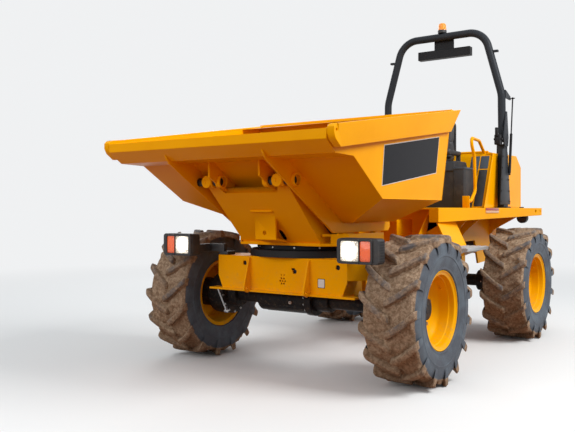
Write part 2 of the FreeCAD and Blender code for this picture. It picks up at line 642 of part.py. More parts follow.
def make_ram(base, head, across, sizes, pin_half, barrel_share, squeeze):
    """A ram between two pins, whose direction is across.

    Sizes are its barrel, rod, eye and pin radii and the eyes' width. The rod's pin reaches pin_half to each side,
    the barrel takes its share of the length, and squeeze is how far the rod can still go in.
    """
    barrel_radius, rod_radius, eye_radius, pin_radius, eye_width = sizes
    a, b, pin = Vector(*base), Vector(*head), Vector(*across)
    line = (b - a).normalize()
    length = (b - a).Length
    barrel_start = a + line * (eye_radius * 0.9)
    floor = a + line * (eye_radius + barrel_radius * 0.4)
    barrel = rod(barrel_start, a + line * (length * barrel_share), barrel_radius)
    socket = rod(floor, a + line * (length * barrel_share + 10), rod_radius + RUN_GAP)
    eye = rod(a - pin * (eye_width / 2), a + pin * (eye_width / 2), eye_radius)
    hole = rod(a - pin * eye_width, a + pin * eye_width, pin_radius + RUN_GAP)
    shaft = rod(floor + line * (squeeze + 5), b, rod_radius)
    head_eye = rod(b - pin * (eye_width / 2), b + pin * (eye_width / 2), eye_radius)
    head_pin = rod(b - pin * pin_half, b + pin * pin_half, pin_radius)
    return fuse(barrel, eye).cut([socket, hole]), fuse(shaft, head_eye, head_pin)


TIP_SIZES = (TIP_RAM_RADIUS, TIP_ROD_RADIUS, TIP_EYE_RADIUS, RAM_PIN_RADIUS, 70.0)
STEER_SIZES = (RAM_RADIUS, RAM_ROD_RADIUS, RAM_EYE_RADIUS, RAM_PIN_RADIUS, 50.0)
tip_ram = make_ram((0, *TIP_RAM_BASE), (0, *TIP_RAM_HEAD), (1, 0, 0), TIP_SIZES, 46.0 - SEAT_GAP, 0.90, 0.0)
keep("tip_ram_barrel", tip_ram[0])
keep("tip_ram_rod", tip_ram[1])
for side_name, side in (("left", 1), ("right", -1)):
    steer_ram = make_ram((side * RAM_REAR[0], RAM_REAR[1], RAM_HEIGHT),
                         (side * RAM_FRONT[0], RAM_FRONT[1], RAM_HEIGHT), (0, 0, 1),
                         STEER_SIZES, 42.0 - SEAT_GAP, 0.66, 210.0)
    keep("steer_ram_" + side_name + "_barrel", steer_ram[0])
    keep("steer_ram_" + side_name + "_rod", steer_ram[1])


# Rear frame

def deck_half(y):
    """The platform's half width at a place along the machine."""
    share = (y - DECK_FRONT_Y) / (REAR_REACH - DECK_FRONT_Y)
    return DECK_FRONT_HALF + share * (DECK_REAR_HALF - DECK_FRONT_HALF)


def deck_depth(y):
    """The side beam's depth at a place along the machine."""
    share = (y - DECK_FRONT_Y) / (REAR_REACH - DECK_FRONT_Y)
    return DECK_FRONT_DEPTH + share * (DECK_REAR_DEPTH - DECK_FRONT_DEPTH)


FRAME_TOP = DECK_TOP - DECK_PLATE - SEAT_GAP
LUG_LOW = TONGUE_LOW - SIDE_GAP - LUG_PLATE
LUG_HIGH = TONGUE_HIGH + SIDE_GAP


STEP_TOP = 893.0
STEP_Y = (WHEELBASE - 1104, WHEELBASE - 599)
STEP_OUTER_X = 900.0
SKIRT_TOP_X, SKIRT_FOOT_X = 598.0, 702.0
SKIRT_Y = (STEP_Y[0] + 70, STEP_Y[1] - 15)
SKIRT_TOP_Z = DECK_TOP - DECK_FRONT_DEPTH - 2.0


def make_skirt(side):
    """The leaning side panel between the platform and the step, with the two webs that carry it."""
    foot_z = STEP_TOP - 88
    panel = cross_plate([(side * (SKIRT_TOP_X - 12), SKIRT_TOP_Z), (side * SKIRT_TOP_X, SKIRT_TOP_Z),
                         (side * SKIRT_FOOT_X, STEP_TOP), (side * SKIRT_FOOT_X, foot_z),
                         (side * (SKIRT_FOOT_X - 12), foot_z), (side * (SKIRT_FOOT_X - 12), STEP_TOP)], *SKIRT_Y)
    webs = [cross_plate([(side * (FRAME_SIDE_X - 5), 914), (side * (SKIRT_FOOT_X - 8), 914),
                         (side * (SKIRT_TOP_X - 2), SKIRT_TOP_Z - 2), (side * (FRAME_SIDE_X - 5), 1020)], y - 6, y + 6)
            for y in (SKIRT_Y[0] + 125, SKIRT_Y[1] - 12)]
    return [panel, *webs]


def make_rear_frame():
    """Side plates arched over the axle, cross plates, pivot lugs and the gussets under the platform."""
    rear = REAR_REACH - 40
    side_line = [(1330, LUG_LOW), (1330, 1000), (1420, FRAME_TOP), (rear, FRAME_TOP), (rear, 760), (rear - 120, 690),
                 (2640, 660), (2540, 900), (1680, 900), (1620, LUG_LOW)]
    parts = []
    for side in SIDES:
        parts.append(side_plate(side_line, side * (FRAME_SIDE_X - 20), side * FRAME_SIDE_X))
        parts.append(box(side * 360, side * (FRAME_SIDE_X - 20), WHEELBASE - AXLE_PAD_HALF,
                         WHEELBASE + AXLE_PAD_HALF, AXLE_PAD_LOW, 960))
        parts += make_skirt(side)
        x, y = RAM_REAR
        parts.append(rod((side * x, y, LUG_LOW + 5), (side * x, y, LUG_HIGH + 5), RAM_PIN_RADIUS))
        for gusset_y in (1900.0, 2140.0, 2980.0):
            out = deck_half(gusset_y) - DECK_BEAM_WIDTH - 1.2
            low = DECK_TOP - deck_depth(gusset_y)
            gusset = cross_plate([(side * FRAME_SIDE_X, 930), (side * (FRAME_SIDE_X + 60), 1010),
                                  (side * out, low), (side * out, FRAME_TOP), (side * FRAME_SIDE_X, FRAME_TOP)],
                                 gusset_y - 7, gusset_y + 7)
            parts.append(gusset)
    inner = FRAME_SIDE_X - 20
    for low in (LUG_LOW, LUG_HIGH):
        plan = mirrored([(68, PIVOT_Y), (150, 1240), (inner, 1400), (inner, 1620)])
        parts.append(flat_plate(plan, low, low + LUG_PLATE))
        parts.append(rod((0, PIVOT_Y, low), (0, PIVOT_Y, low + LUG_PLATE), 78.0))
    parts.append(box(-inner, inner, 1600, 1620, LUG_LOW, FRAME_TOP))
    parts.append(box(-inner, inner, rear - 20, rear, 760, FRAME_TOP))
    parts.append(box(-inner, inner, 2480, 2500, 900, FRAME_TOP))
    for y in (ENGINE_BLOCK[1] + 60, ENGINE_BLOCK[2] - 100):
        parts.append(box(-inner, inner, y, y + 60, ENGINE_LOW - 40, ENGINE_LOW - SEAT_GAP))
    parts.append(rod((0, PIVOT_Y, LUG_LOW - 20), (0, PIVOT_Y, LUG_HIGH + LUG_PLATE + 14), PIVOT_PIN_RADIUS))
    parts.append(rod((0, PIVOT_Y, LUG_HIGH + LUG_PLATE), (0, PIVOT_Y, LUG_HIGH + LUG_PLATE + 14), 52.0))
    return fuse(*parts)


keep("rear_frame", make_rear_frame())


def make_platform():
    """The floor plate between two side beams that widen and thin out towards the rear."""
    parts = []
    for side in SIDES:
        ends = []
        for y in (DECK_FRONT_Y, REAR_REACH):
            out, low = deck_half(y), DECK_TOP - deck_depth(y)
            ends.append([(side * (out - DECK_BEAM_WIDTH), y, low), (side * out, y, low),
                         (side * out, y, DECK_TOP), (side * (out - DECK_BEAM_WIDTH), y, DECK_TOP)])
        beam = hexahedron(*ends)
        parts.append(beam)
    inner_front, inner_rear = (deck_half(y) - DECK_BEAM_WIDTH + 1 for y in (1300, REAR_REACH))
    floor = flat_plate(mirrored([(inner_front, 1300), (inner_rear, REAR_REACH)]), DECK_TOP - DECK_PLATE, DECK_TOP)
    half, y0, y1 = ENGINE_BAY
    floor = floor.cut(box(-half, half, y0, y1, DECK_TOP - 100, DECK_TOP + 10))
    rear = box(-inner_rear, inner_rear, REAR_REACH - 18, REAR_REACH, DECK_TOP - DECK_REAR_DEPTH, DECK_TOP)
    platform = fuse(floor, rear, *parts)
    y, z = REAR_REACH - 42, DECK_TOP - 38
    eyes = [bore((side * 780, y, z), (side * 920, y, z), DECK_EYE_RADIUS) for side in SIDES]
    return platform.cut(eyes)


keep("platform", make_platform())


def make_step(side):
    """A grip tread on the skirt's foot, with two brackets under it."""
    y0, y1 = STEP_Y
    inner = SKIRT_FOOT_X + SEAT_GAP
    parts = [box(side * inner, side * STEP_OUTER_X, y0, y1, STEP_TOP - 28, STEP_TOP)]
    for y in (y0 + 60, y1 - 75):
        parts.append(cross_plate([(side * inner, STEP_TOP - 28), (side * (STEP_OUTER_X - 30), STEP_TOP - 28),
                                  (side * inner, STEP_TOP - 88)], y, y + 15))
    return fuse(*parts)


keep("steps", Part.makeCompound([make_step(side) for side in SIDES]))

TANK_X = (FRAME_SIDE_X + SEAT_GAP, 664.0)


def make_tanks():
    """The black tanks that hang beside the rear frame, behind the steps."""
    tanks = []
    for side in SIDES:
        line = [(1345, 560), (1345, 860), (1400, 905), (1640, 905), (1640, 560), (1600, 520), (1390, 520)]
        tanks.append(side_plate(line, side * TANK_X[0], side * TANK_X[1]))
    return Part.makeCompound(tanks)


keep("side_tanks", make_tanks())

engine_half, engine_front, engine_rear = ENGINE_BLOCK
keep("engine_block", box(-engine_half, engine_half, engine_front, engine_rear, ENGINE_LOW, ENGINE_TOP))
keep("tail_lamps", Part.makeCompound([box(side * 640, side * 770, REAR_REACH - 160, REAR_REACH - 90, TAIL_LAMP_LOW,
                                          DECK_TOP - DECK_PLATE - SEAT_GAP) for side in SIDES]))


# Engine cowl, grille and cover

COWL_LINE = [(2830, DECK_TOP), (COWL_REAR_Y, DECK_TOP), (COWL_REAR_Y, COWL_REAR_TOP), (COWL_SLOPE_Y, COWL_TOP),
             (2830, COWL_TOP)]
COWL_FRONT_LINE = [(2300, DECK_TOP), (2690, DECK_TOP), (2690, COWL_TOP), (2560, COWL_TOP)]
GRILLE_HALF, GRILLE_LOW, GRILLE_HIGH = 420.0, 1290.0, 1600.0
COWL_FOOT = DECK_TOP + SEAT_GAP
COWL_FRONT = ((2330.0, COWL_FOOT), (2575.0, COWL_TOP))
COWL_SLANT = math.atan2(COWL_FRONT[1][1] - COWL_FRONT[0][1], COWL_FRONT[1][0] - COWL_FRONT[0][0])
COWL_NORMAL = (math.sin(COWL_SLANT), math.cos(COWL_SLANT))


def make_cowl():
    """The fixed bodywork: side walls that step in round the roll frame's posts, front and rear walls."""
    skin = COWL_SKIN
    parts = []
    for side in SIDES:
        lift = [(y, max(z, COWL_FOOT)) for y, z in COWL_LINE]
        parts.append(side_plate(lift, side * (COWL_HALF - skin), side * COWL_HALF))
        lift = [(y, max(z, COWL_FOOT)) for y, z in COWL_FRONT_LINE]
        parts.append(side_plate(lift, side * (COWL_FRONT_HALF - skin), side * COWL_FRONT_HALF))
        inner = COWL_RECESS_HALF - skin
        parts.append(box(side * inner, side * COWL_RECESS_HALF, 2678, 2842, COWL_FOOT, COWL_TOP))
        parts.append(box(side * inner, side * COWL_HALF, 2830, 2842, COWL_FOOT, COWL_TOP))
        parts.append(box(side * inner, side * COWL_FRONT_HALF, 2678, 2690, COWL_FOOT, COWL_TOP))
        ledge = COVER_HALF - 10
        parts.append(box(side * ledge, side * COWL_FRONT_HALF, 2560, 2690, COWL_TOP - skin, COWL_TOP))
        parts.append(box(side * ledge, side * COWL_RECESS_HALF, 2690, 2842, COWL_TOP - skin, COWL_TOP))
        parts.append(side_plate([(2842, COWL_TOP - skin), (2842, COWL_TOP), (COWL_SLOPE_Y, COWL_TOP),
                                 (COWL_REAR_Y, COWL_REAR_TOP), (COWL_REAR_Y, COWL_REAR_TOP - skin - 2),
                                 (COWL_SLOPE_Y - 4, COWL_TOP - skin)], side * ledge, side * COWL_HALF))
    (y0, z0), (y1, z1) = COWL_FRONT
    front = side_plate([(y0, z0), (y1, z1), (y1 + skin, z1), (y0 + skin, z0)], 1 - COWL_FRONT_HALF, COWL_FRONT_HALF - 1)
    rear = box(-COWL_HALF, COWL_HALF, COWL_REAR_Y - skin, COWL_REAR_Y, COWL_FOOT, COWL_REAR_TOP)
    rear = rear.cut(box(-GRILLE_HALF, GRILLE_HALF, REAR_REACH - 50, REAR_REACH + 10, GRILLE_LOW, GRILLE_HIGH))
    return fuse(front, rear, *parts)


keep("engine_cowl", make_cowl())


def make_grille():
    """The rear grille: a frame crossed by slats."""
    y1 = REAR_REACH - 2 - COWL_SKIN - SEAT_GAP
    y0 = y1 - 26
    edge = GRILLE_HALF + 20
    frame = box(-edge, edge, y0, y1, GRILLE_LOW - 20, GRILLE_HIGH + 20)
    frame = frame.cut(box(-GRILLE_HALF + 14, GRILLE_HALF - 14, y0 - 1, y1 + 1, GRILLE_LOW + 6, GRILLE_HIGH - 6))
    slats = []
    count = 8
    for number in range(count):
        z = GRILLE_LOW + 6 + (number + 0.5) * (GRILLE_HIGH - GRILLE_LOW - 12) / count
        slats.append(side_plate([(y0, z + 9), (y0, z + 5), (y1, z - 9), (y1, z - 5)], -GRILLE_HALF, GRILLE_HALF))
    return fuse(frame, *slats)


keep("rear_grille", make_grille())


def make_cover():
    """The lid over the engine, hinged behind the seat."""
    low = COWL_TOP + SEAT_GAP
    line = [(COVER_HINGE_Y, low), (COWL_SLOPE_Y + 2, low), (COWL_REAR_Y - 13, COWL_REAR_TOP + 13),
            (COWL_REAR_Y - 7, COWL_REAR_TOP + 21), (COWL_SLOPE_Y + 6, low + COVER_SKIN + 2),
            (COVER_HINGE_Y, low + COVER_SKIN + 2)]
    lid = side_plate(line, -COVER_HALF, COVER_HALF)
    barrel = along_x(-COVER_HALF, COVER_HALF, COVER_HINGE_Y, COWL_TOP + 14, 12)
    stiffener = side_plate([(2680, low), (2720, low), (2720, low - 40), (2680, low - 40)], -500, 500)
    return fuse(lid, barrel, stiffener)


keep("engine_cover", make_cover())


# Operator's place

def make_seat_base():
    """The black housing under the seat, with an armrest along each side."""
    body = side_plate([(2110, COWL_FOOT), (2110, 1610), (2140, SEAT_Z), (2496, SEAT_Z), (2322, COWL_FOOT)], -400, 400)
    arms = [side_plate([(2100, SEAT_Z - 40), (2120, SEAT_Z + 50), (2160, SEAT_Z + 65), (2430, SEAT_Z + 65),
                        (2470, SEAT_Z)], side * 290, side * 400) for side in SIDES]
    return fuse(body, *arms)


keep("seat_base", make_seat_base())
cushion = side_plate([(2090, SEAT_Z + SEAT_GAP), (2090, SEAT_Z + 55), (2125, SEAT_Z + 78), (2440, SEAT_Z + 62),
                      (2460, SEAT_Z + SEAT_GAP)], -250, 250)
back = side_plate([(2440, SEAT_Z + 62), (2440, SEAT_Z + SEAT_GAP), (2490, SEAT_Z + SEAT_GAP), (2545, 1790),
                   (2585, 2120), (2560, 2160), (2520, 2150), (2500, 2100), (2470, 1800)], -235, 235)
keep("seat", fuse(cushion, back))

WHEEL_CENTRE = (1845.0, 1915.0)
WHEEL_LEAN = 30.0           # of the steering wheel's plane from level, in degrees
WHEEL_RADIUS = 185.0


def make_steering():
    """The steering console: a leaning pedestal, its column and the three-spoked wheel."""
    lean = math.radians(WHEEL_LEAN)
    y, z = WHEEL_CENTRE
    foot = (y - 200 * math.sin(lean), z - 200 * math.cos(lean))
    pedestal = side_plate([(1560, COWL_FOOT), (1650, 1700), (1700, 1775), (1800, 1735), (1760, COWL_FOOT)], -140, 140)
    column = rod((0, *foot), (0, y, z), 26)
    grip = [(12 * math.cos(k * math.pi / 2.5), WHEEL_RADIUS + 12 * math.sin(k * math.pi / 2.5)) for k in range(5)]
    wheel = [lathe(grip, 18)]
    for turn in (0, 120, 240):
        angle = math.radians(turn)
        wheel.append(rod((0, 0, 0), (0, WHEEL_RADIUS * math.sin(angle), -WHEEL_RADIUS * math.cos(angle)), 9, count=6))
    wheel = fuse(*wheel)
    wheel.rotate(Vector(0, 0, 0), Vector(0, 1, 0), -90)
    wheel.rotate(Vector(0, 0, 0), Vector(1, 0, 0), -WHEEL_LEAN)
    wheel.translate(Vector(0, y, z))
    return fuse(pedestal, column, wheel)


keep("steering_console", make_steering())

RAIL_X = 608.0
RAIL_RADIUS = 16.0


def make_grab_rails():
    """The two tubes that the driver climbs up by, from the platform up and over to the cowl."""
    rails = []
    for side in SIDES:
        x = side * RAIL_X
        path = [(x, 1850, 1262), (x, 1990, 1318), (x, 2110, 1410), (x, 2095, 1740), (x, 1985, 1912), (x, 2345, 1915),
                (x, 2345, 1500), (x, 2345 + 90.7 * COWL_NORMAL[0], 1500 - 90.7 * COWL_NORMAL[1])]
        bends = ((120, 1), (70, 2), (120, 1), (60, 3), (60, 3), (50, 1))
        plate = box(x - 34, x + 34, 1822, 1838, COWL_FOOT, 1296)
        stub = rod((x, 1838, 1262), (x, 1856, 1262), 24)
        rails.append(fuse(tube(path, RAIL_RADIUS, bends, 8), plate, stub))
    return Part.makeCompound(rails)


keep("grab_rails", make_grab_rails())


# Roll frame

def make_posts():
    """The lower posts, each with two ears and the pin that the hoop folds on."""
    pieces = []
    half, depth, top_depth = POST_WIDTH / 2, POST_FOOT_DEPTH / 2, POST_TOP_DEPTH / 2
    for side in SIDES:
        x = side * ROPS_X
        post = side_plate([(ROPS_Y - depth, COWL_FOOT + 15), (ROPS_Y - top_depth, ROPS_HINGE_Z - 62),
                           (ROPS_Y + top_depth, ROPS_HINGE_Z - 62), (ROPS_Y + depth, COWL_FOOT + 15)],
                          x - half, x + half)
        foot = box(side * (ROPS_X - half + 2), side * (ROPS_X + half + 30), ROPS_Y - depth, ROPS_Y + depth,
                   COWL_FOOT, COWL_FOOT + 15)
        parts = [post, foot]
        for low in (x - half, x + half - 15):
            parts.append(box(low, low + 15, ROPS_Y - 46, ROPS_Y + 46, ROPS_HINGE_Z - 70, ROPS_HINGE_Z))
            parts.append(along_x(low, low + 15, ROPS_Y, ROPS_HINGE_Z, 46, 12))
        parts.append(along_x(x - half - 8, x + half + 8, ROPS_Y, ROPS_HINGE_Z, 14))
        pieces.append(fuse(*parts))
    y, z = STRUT_LOW
    arm = side_plate([(y - 50, z - 34), (y + 22, z - 20), (y + 22, z + 20), (y - 50, z + 34)], 700, STRUT_X - 17)
    pin = along_x(700, STRUT_X + 12, y, z, STRUT_PIN_RADIUS)
    pieces[0] = fuse(pieces[0], arm, pin)
    return Part.makeCompound(pieces)


keep("rops_posts", make_posts())


def make_hoop():
    """The folding hoop: one bent tube with a lug at each foot and a bracket for the strut."""
    corner_x, knee = 467, (655, 2425)
    foot = ROPS_HINGE_Z + 55
    path = [(ROPS_X, ROPS_Y, foot), (knee[0], ROPS_Y, knee[1]), (corner_x, ROPS_Y, ROPS_TOP),
            (-corner_x, ROPS_Y, ROPS_TOP), (-knee[0], ROPS_Y, knee[1]), (-ROPS_X, ROPS_Y, foot)]
    parts = [tube(path, ROPS_TUBE, ((300, 1), (220, 3), (220, 3), (300, 1)), 12)]
    for side in SIDES:
        x = side * ROPS_X
        lug = along_x(x - 24, x + 24, ROPS_Y, ROPS_HINGE_Z, 40)
        neck = box(x - 24, x + 24, ROPS_Y - 38, ROPS_Y + 38, ROPS_HINGE_Z, foot + 60)
        hole = along_x(x - 30, x + 30, ROPS_Y, ROPS_HINGE_Z, 14 + RUN_GAP)
        parts.append(lug.fuse(neck).cut(hole))
    y, z = STRUT_HIGH
    parts.append(side_plate([(ROPS_Y, z - 10), (ROPS_Y, z + 75), (y + 8, z + 22), (y + 18, z - 14), (y - 14, z - 14)],
                            686, 700))
    return fuse(*parts)


keep("rops_hoop", make_hoop())

STRUT_SIZES = (STRUT_RADIUS, STRUT_ROD_RADIUS, 12.0, STRUT_PIN_RADIUS, 16.0)
strut = make_ram((STRUT_X, *STRUT_LOW), (STRUT_X, *STRUT_HIGH), (1, 0, 0), STRUT_SIZES, 24.7, 0.53, 360.0)
keep("rops_strut_barrel", strut[0])
keep("rops_strut_rod", strut[1])

BEACON_FOOT = ROPS_TOP + ROPS_TUBE
beacon_base = rod((0, ROPS_Y, BEACON_FOOT - 12), (0, ROPS_Y, BEACON_FOOT + 34), 48)
keep("beacon_base", beacon_base.cut(along_x(-100, 100, ROPS_Y, ROPS_TOP, clear_radius(ROPS_TUBE, SEAT_GAP))))
lens = lathe([(0, 0), (0, 46), (60, 42), (74, 30), (78, 0)], 12, closed=False)
lens.rotate(Vector(0, 0, 0), Vector(0, 1, 0), -90)
lens.translate(Vector(0, ROPS_Y, BEACON_FOOT + 34 + SEAT_GAP))
keep("beacon_lens", lens)
board = box(-300, 300, ROPS_Y + 30, ROPS_Y + 110, 2885, 2978)
stem = box(-110, 110, ROPS_Y + ROPS_TUBE + SEAT_GAP, ROPS_Y + 70, 2978, ROPS_TOP + 10)
keep("lamp_board", fuse(board, stem))


def main():
    """Writes every piece as one STEP file named after its node."""
    os.makedirs("parts", exist_ok=True)
    for name, shape in PIECES.items():
        shape = shape.copy()
        shape.translate(Vector(0, FRONT_AXLE_Y, 0))
        bounds = shape.BoundBox
        print(f"{name:24s} solids {len(shape.Solids)} valid {shape.isValid()} "
              f"x {bounds.XMin:7.0f} {bounds.XMax:7.0f} y {bounds.YMin:7.0f} {bounds.YMax:7.0f} "
              f"z {bounds.ZMin:6.1f} {bounds.ZMax:6.1f} litres {shape.Volume / 1e6:8.2f}")
        shape.exportStep(os.path.join("parts", name + ".step"))


if __name__ == "__main__":
    main()
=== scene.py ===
"""The looks of a swivel-skip site dumper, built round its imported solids.

Lengths are metres. +X is the machine's left side, it faces -Y, and Z is up. Places along the machine
are written as distances behind the front axle, as in the part's own source, and along() turns them
into the frame's Y.
"""
import logging
import math
from dataclasses import dataclass
from enum import Enum
from typing import Callable, Iterable, Sequence

import bmesh
import bpy
from mathutils import Euler, Matrix, Vector, noise
from mathutils.bvhtree import BVHTree

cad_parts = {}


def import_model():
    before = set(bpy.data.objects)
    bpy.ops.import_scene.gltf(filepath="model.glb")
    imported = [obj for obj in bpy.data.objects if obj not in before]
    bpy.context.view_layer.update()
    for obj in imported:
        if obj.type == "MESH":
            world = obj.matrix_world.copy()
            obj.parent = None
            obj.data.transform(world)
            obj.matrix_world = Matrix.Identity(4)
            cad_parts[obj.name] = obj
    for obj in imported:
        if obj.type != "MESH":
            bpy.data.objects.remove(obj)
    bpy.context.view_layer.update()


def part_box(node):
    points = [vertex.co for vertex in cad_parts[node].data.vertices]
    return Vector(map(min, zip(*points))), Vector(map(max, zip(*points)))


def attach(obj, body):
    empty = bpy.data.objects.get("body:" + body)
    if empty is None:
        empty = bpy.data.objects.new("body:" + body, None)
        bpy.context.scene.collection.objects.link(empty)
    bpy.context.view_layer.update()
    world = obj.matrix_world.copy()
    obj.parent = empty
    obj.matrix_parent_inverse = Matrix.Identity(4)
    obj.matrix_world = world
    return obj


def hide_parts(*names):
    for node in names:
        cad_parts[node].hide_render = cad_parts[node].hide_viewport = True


LOG = logging.getLogger("dumper")
FRONT_AXLE_Y = -1.105
SIDES = (1, -1)
Point = tuple[float, float, float]
Placing = Callable[[float, float, float], Vector]


def along(behind: float) -> float:
    """Returns the frame's Y of a place that lies some metres behind the front axle."""
    return behind + FRONT_AXLE_Y


class Graph:
    """The node tree of one material, with one method that makes any node."""

    def __init__(self, name: str) -> None:
        """Starts a material with its principled shader.

        Args:
            name: the material's name.
        """
        self.material = bpy.data.materials.new(name)
        self.material.use_nodes = True
        self.tree = self.material.node_tree
        self.shader = self.tree.nodes["Principled BSDF"]
        self.place = self.node("TexCoord", {}, {}).outputs["Object"]

    def node(self, kind: str, settings: dict, inputs: dict) -> bpy.types.Node:
        """Makes a shader node.

        Args:
            kind: the node's type without its ShaderNode prefix.
            settings: its own properties.
            inputs: its inputs by name or number, as values, sockets or fields.

        Returns:
            The node.
        """
        made = self.tree.nodes.new("ShaderNode" + kind)
        for key, value in settings.items():
            setattr(made, key, value)
        for key, value in inputs.items():
            self.feed(made.inputs[key], value)
        return made

    def feed(self, socket: bpy.types.NodeSocket, value: object) -> None:
        """Links or sets one input.

        Args:
            socket: the input.
            value: a field, an output socket, or a plain value.
        """
        if isinstance(value, Field):
            value = value.socket
        if isinstance(value, bpy.types.NodeSocket):
            self.tree.links.new(value, socket)
        else:
            socket.default_value = value

    def noise(self, scale: float, detail: float = 3.0, rough: float = 0.55, seed: float = 0.0) -> "Field":
        """Returns a cloudy field between 0 and 1 over the piece's place, scale being features a metre."""
        moved = self.node("Mapping", {}, {"Vector": self.place, "Location": (seed, seed * 0.7, -seed)})
        made = self.node("TexNoise", {}, {"Vector": moved.outputs[0], "Scale": scale, "Detail": detail,
                                          "Roughness": rough})
        return Field(self, made.outputs["Fac"])

    def cells(self, scale: float, feature: str = "F1") -> "Field":
        """Returns the distance field of a cell pattern, scale being cells a metre."""
        made = self.node("TexVoronoi", {"feature": feature}, {"Vector": self.place, "Scale": scale})
        return Field(self, made.outputs["Distance"])

    def parts(self) -> tuple["Field", "Field", "Field"]:
        """Returns the piece's X, Y and Z as three fields."""
        split = self.node("SeparateXYZ", {}, {"Vector": self.place})
        return tuple(Field(self, split.outputs[axis]) for axis in ("X", "Y", "Z"))

    def mix(self, share: "Field", first: object, second: object) -> bpy.types.NodeSocket:
        """Returns a colour between two, first where the share is 0."""
        made = self.node("Mix", {"data_type": "RGBA"}, {})
        self.feed(made.inputs["Factor"], share)
        colours = [socket for socket in made.inputs if socket.type == "RGBA"]
        for socket, value in zip(colours, (first, second)):
            self.feed(socket, value)
        return next(socket for socket in made.outputs if socket.type == "RGBA")

    def bump(self, height: "Field", strength: float, depth: float) -> None:
        """Gives the surface relief from a height field.

        Args:
            height: the field, 0 to 1.
            strength: how strongly it shows.
            depth: what a full step of the field stands for, in metres.
        """
        made = self.node("Bump", {}, {"Strength": strength, "Distance": depth, "Height": height})
        self.feed(self.shader.inputs["Normal"], made.outputs[0])


class Field:
    """A number that varies over a surface, with the usual operators as Math nodes."""

    def __init__(self, graph: Graph, socket: bpy.types.NodeSocket) -> None:
        """Holds the socket that gives the number.

        Args:
            graph: the graph that the socket is in.
            socket: the output socket.
        """
        self.graph = graph
        self.socket = socket

    def _math(self, operation: str, *others: object) -> "Field":
        """Returns the result of one Math node on this field and others."""
        inputs = dict(enumerate((self, *others)))
        return Field(self.graph, self.graph.node("Math", {"operation": operation}, inputs).outputs[0])

    def __add__(self, other: object) -> "Field":
        """Returns the sum."""
        return self._math("ADD", other)

    def __radd__(self, other: object) -> "Field":
        """Returns the sum with a plain number first."""
        return self._math("ADD", other)

    def __sub__(self, other: object) -> "Field":
        """Returns the difference."""
        return self._math("SUBTRACT", other)

    def __rsub__(self, other: float) -> "Field":
        """Returns a plain number less this field."""
        return self * -1.0 + other

    def __mul__(self, other: object) -> "Field":
        """Returns the product."""
        return self._math("MULTIPLY", other)

    def __rmul__(self, other: object) -> "Field":
        """Returns the product with a plain number first."""
        return self._math("MULTIPLY", other)

    def __abs__(self) -> "Field":
        """Returns the size without its sign."""
        return self._math("ABSOLUTE")

    def wrap(self, span: float) -> "Field":
        """Returns the rest after taking away whole spans."""
        return self._math("WRAP", span, 0.0)

    def root(self) -> "Field":
        """Returns the square root."""
        return self._math("SQRT")

    def turn(self, other: "Field") -> "Field":
        """Returns the angle whose sides are this field and another."""
        return self._math("ARCTAN2", other)

    def ramp(self, low: float, high: float) -> "Field":
        """Returns 0 below one value, 1 above the other, and a smooth step between."""
        made = self.graph.node("MapRange", {"interpolation_type": "SMOOTHSTEP"},
                               {"Value": self, "From Min": low, "From Max": high})
        return Field(self.graph, made.outputs[0])


@dataclass(frozen=True)
class Finish:
    """What every finish has: the record's slot that it belongs to, and a name where a slot has several."""

    slot: str
    label: str = ""

    def material(self) -> bpy.types.Material:
        """Returns the finish's material, made once."""
        name = "finish_" + (self.label or self.slot)
        return bpy.data.materials.get(name) or self.mixed(Graph(name)).material

    def mixed(self, graph: Graph) -> Graph:
        """Fills the graph. Each finish has its own."""
        raise NotImplementedError


@dataclass(frozen=True)
class Paint(Finish):
    """Sprayed steel: orange peel, thin scratches, dust that settles low down and in soft patches."""

    colour: Point = (0.95, 0.42, 0.0)
    shade: Point = (0.88, 0.35, 0.0)
    dust: Point = (0.36, 0.24, 0.13)
    rough: float = 0.36
    dust_top: float = 0.95
    coat: float = 0.02
    sheen: float = 0.09
    tint: Point = (1.0, 0.62, 0.1)

    def mixed(self, graph: Graph) -> Graph:
        """Returns the graph with the paint's nodes in it."""
        height = graph.parts()[2]
        patches = graph.noise(2.3, 5.0, 0.6)
        tone = graph.mix(patches.ramp(0.35, 0.75) * 0.55, (*self.colour, 1.0), (*self.shade, 1.0))
        low = height.ramp(self.dust_top, 0.35)
        specks = graph.noise(38.0, 6.0, 0.7, 3.1).ramp(0.5, 0.72)
        film = graph.noise(6.0, 5.0, 0.6, 7.7).ramp(0.42, 0.8)
        dirt = low * (specks * 0.45 + film * 0.25)
        scratch = graph.noise(210.0, 2.0, 0.8, 1.9).ramp(0.69, 0.74) * graph.noise(3.0, 2.0, 0.5, 5.5).ramp(0.5, 0.7)
        worn = graph.mix(scratch * 0.5, tone, (0.3, 0.27, 0.23, 1.0))
        graph.feed(graph.shader.inputs["Base Color"], graph.mix(dirt, worn, (*self.dust, 1.0)))
        graph.feed(graph.shader.inputs["Roughness"], dirt * 0.45 + patches * 0.08 + (self.rough - 0.04))
        graph.shader.inputs["Specular IOR Level"].default_value = self.sheen
        graph.shader.inputs["Specular Tint"].default_value = (*self.tint, 1.0)
        graph.shader.inputs["Coat Weight"].default_value = self.coat
        graph.shader.inputs["Coat Roughness"].default_value = 0.18
        graph.bump(graph.noise(520.0, 2.0) * 0.35 + dirt, 0.22, 0.0007)
        return graph


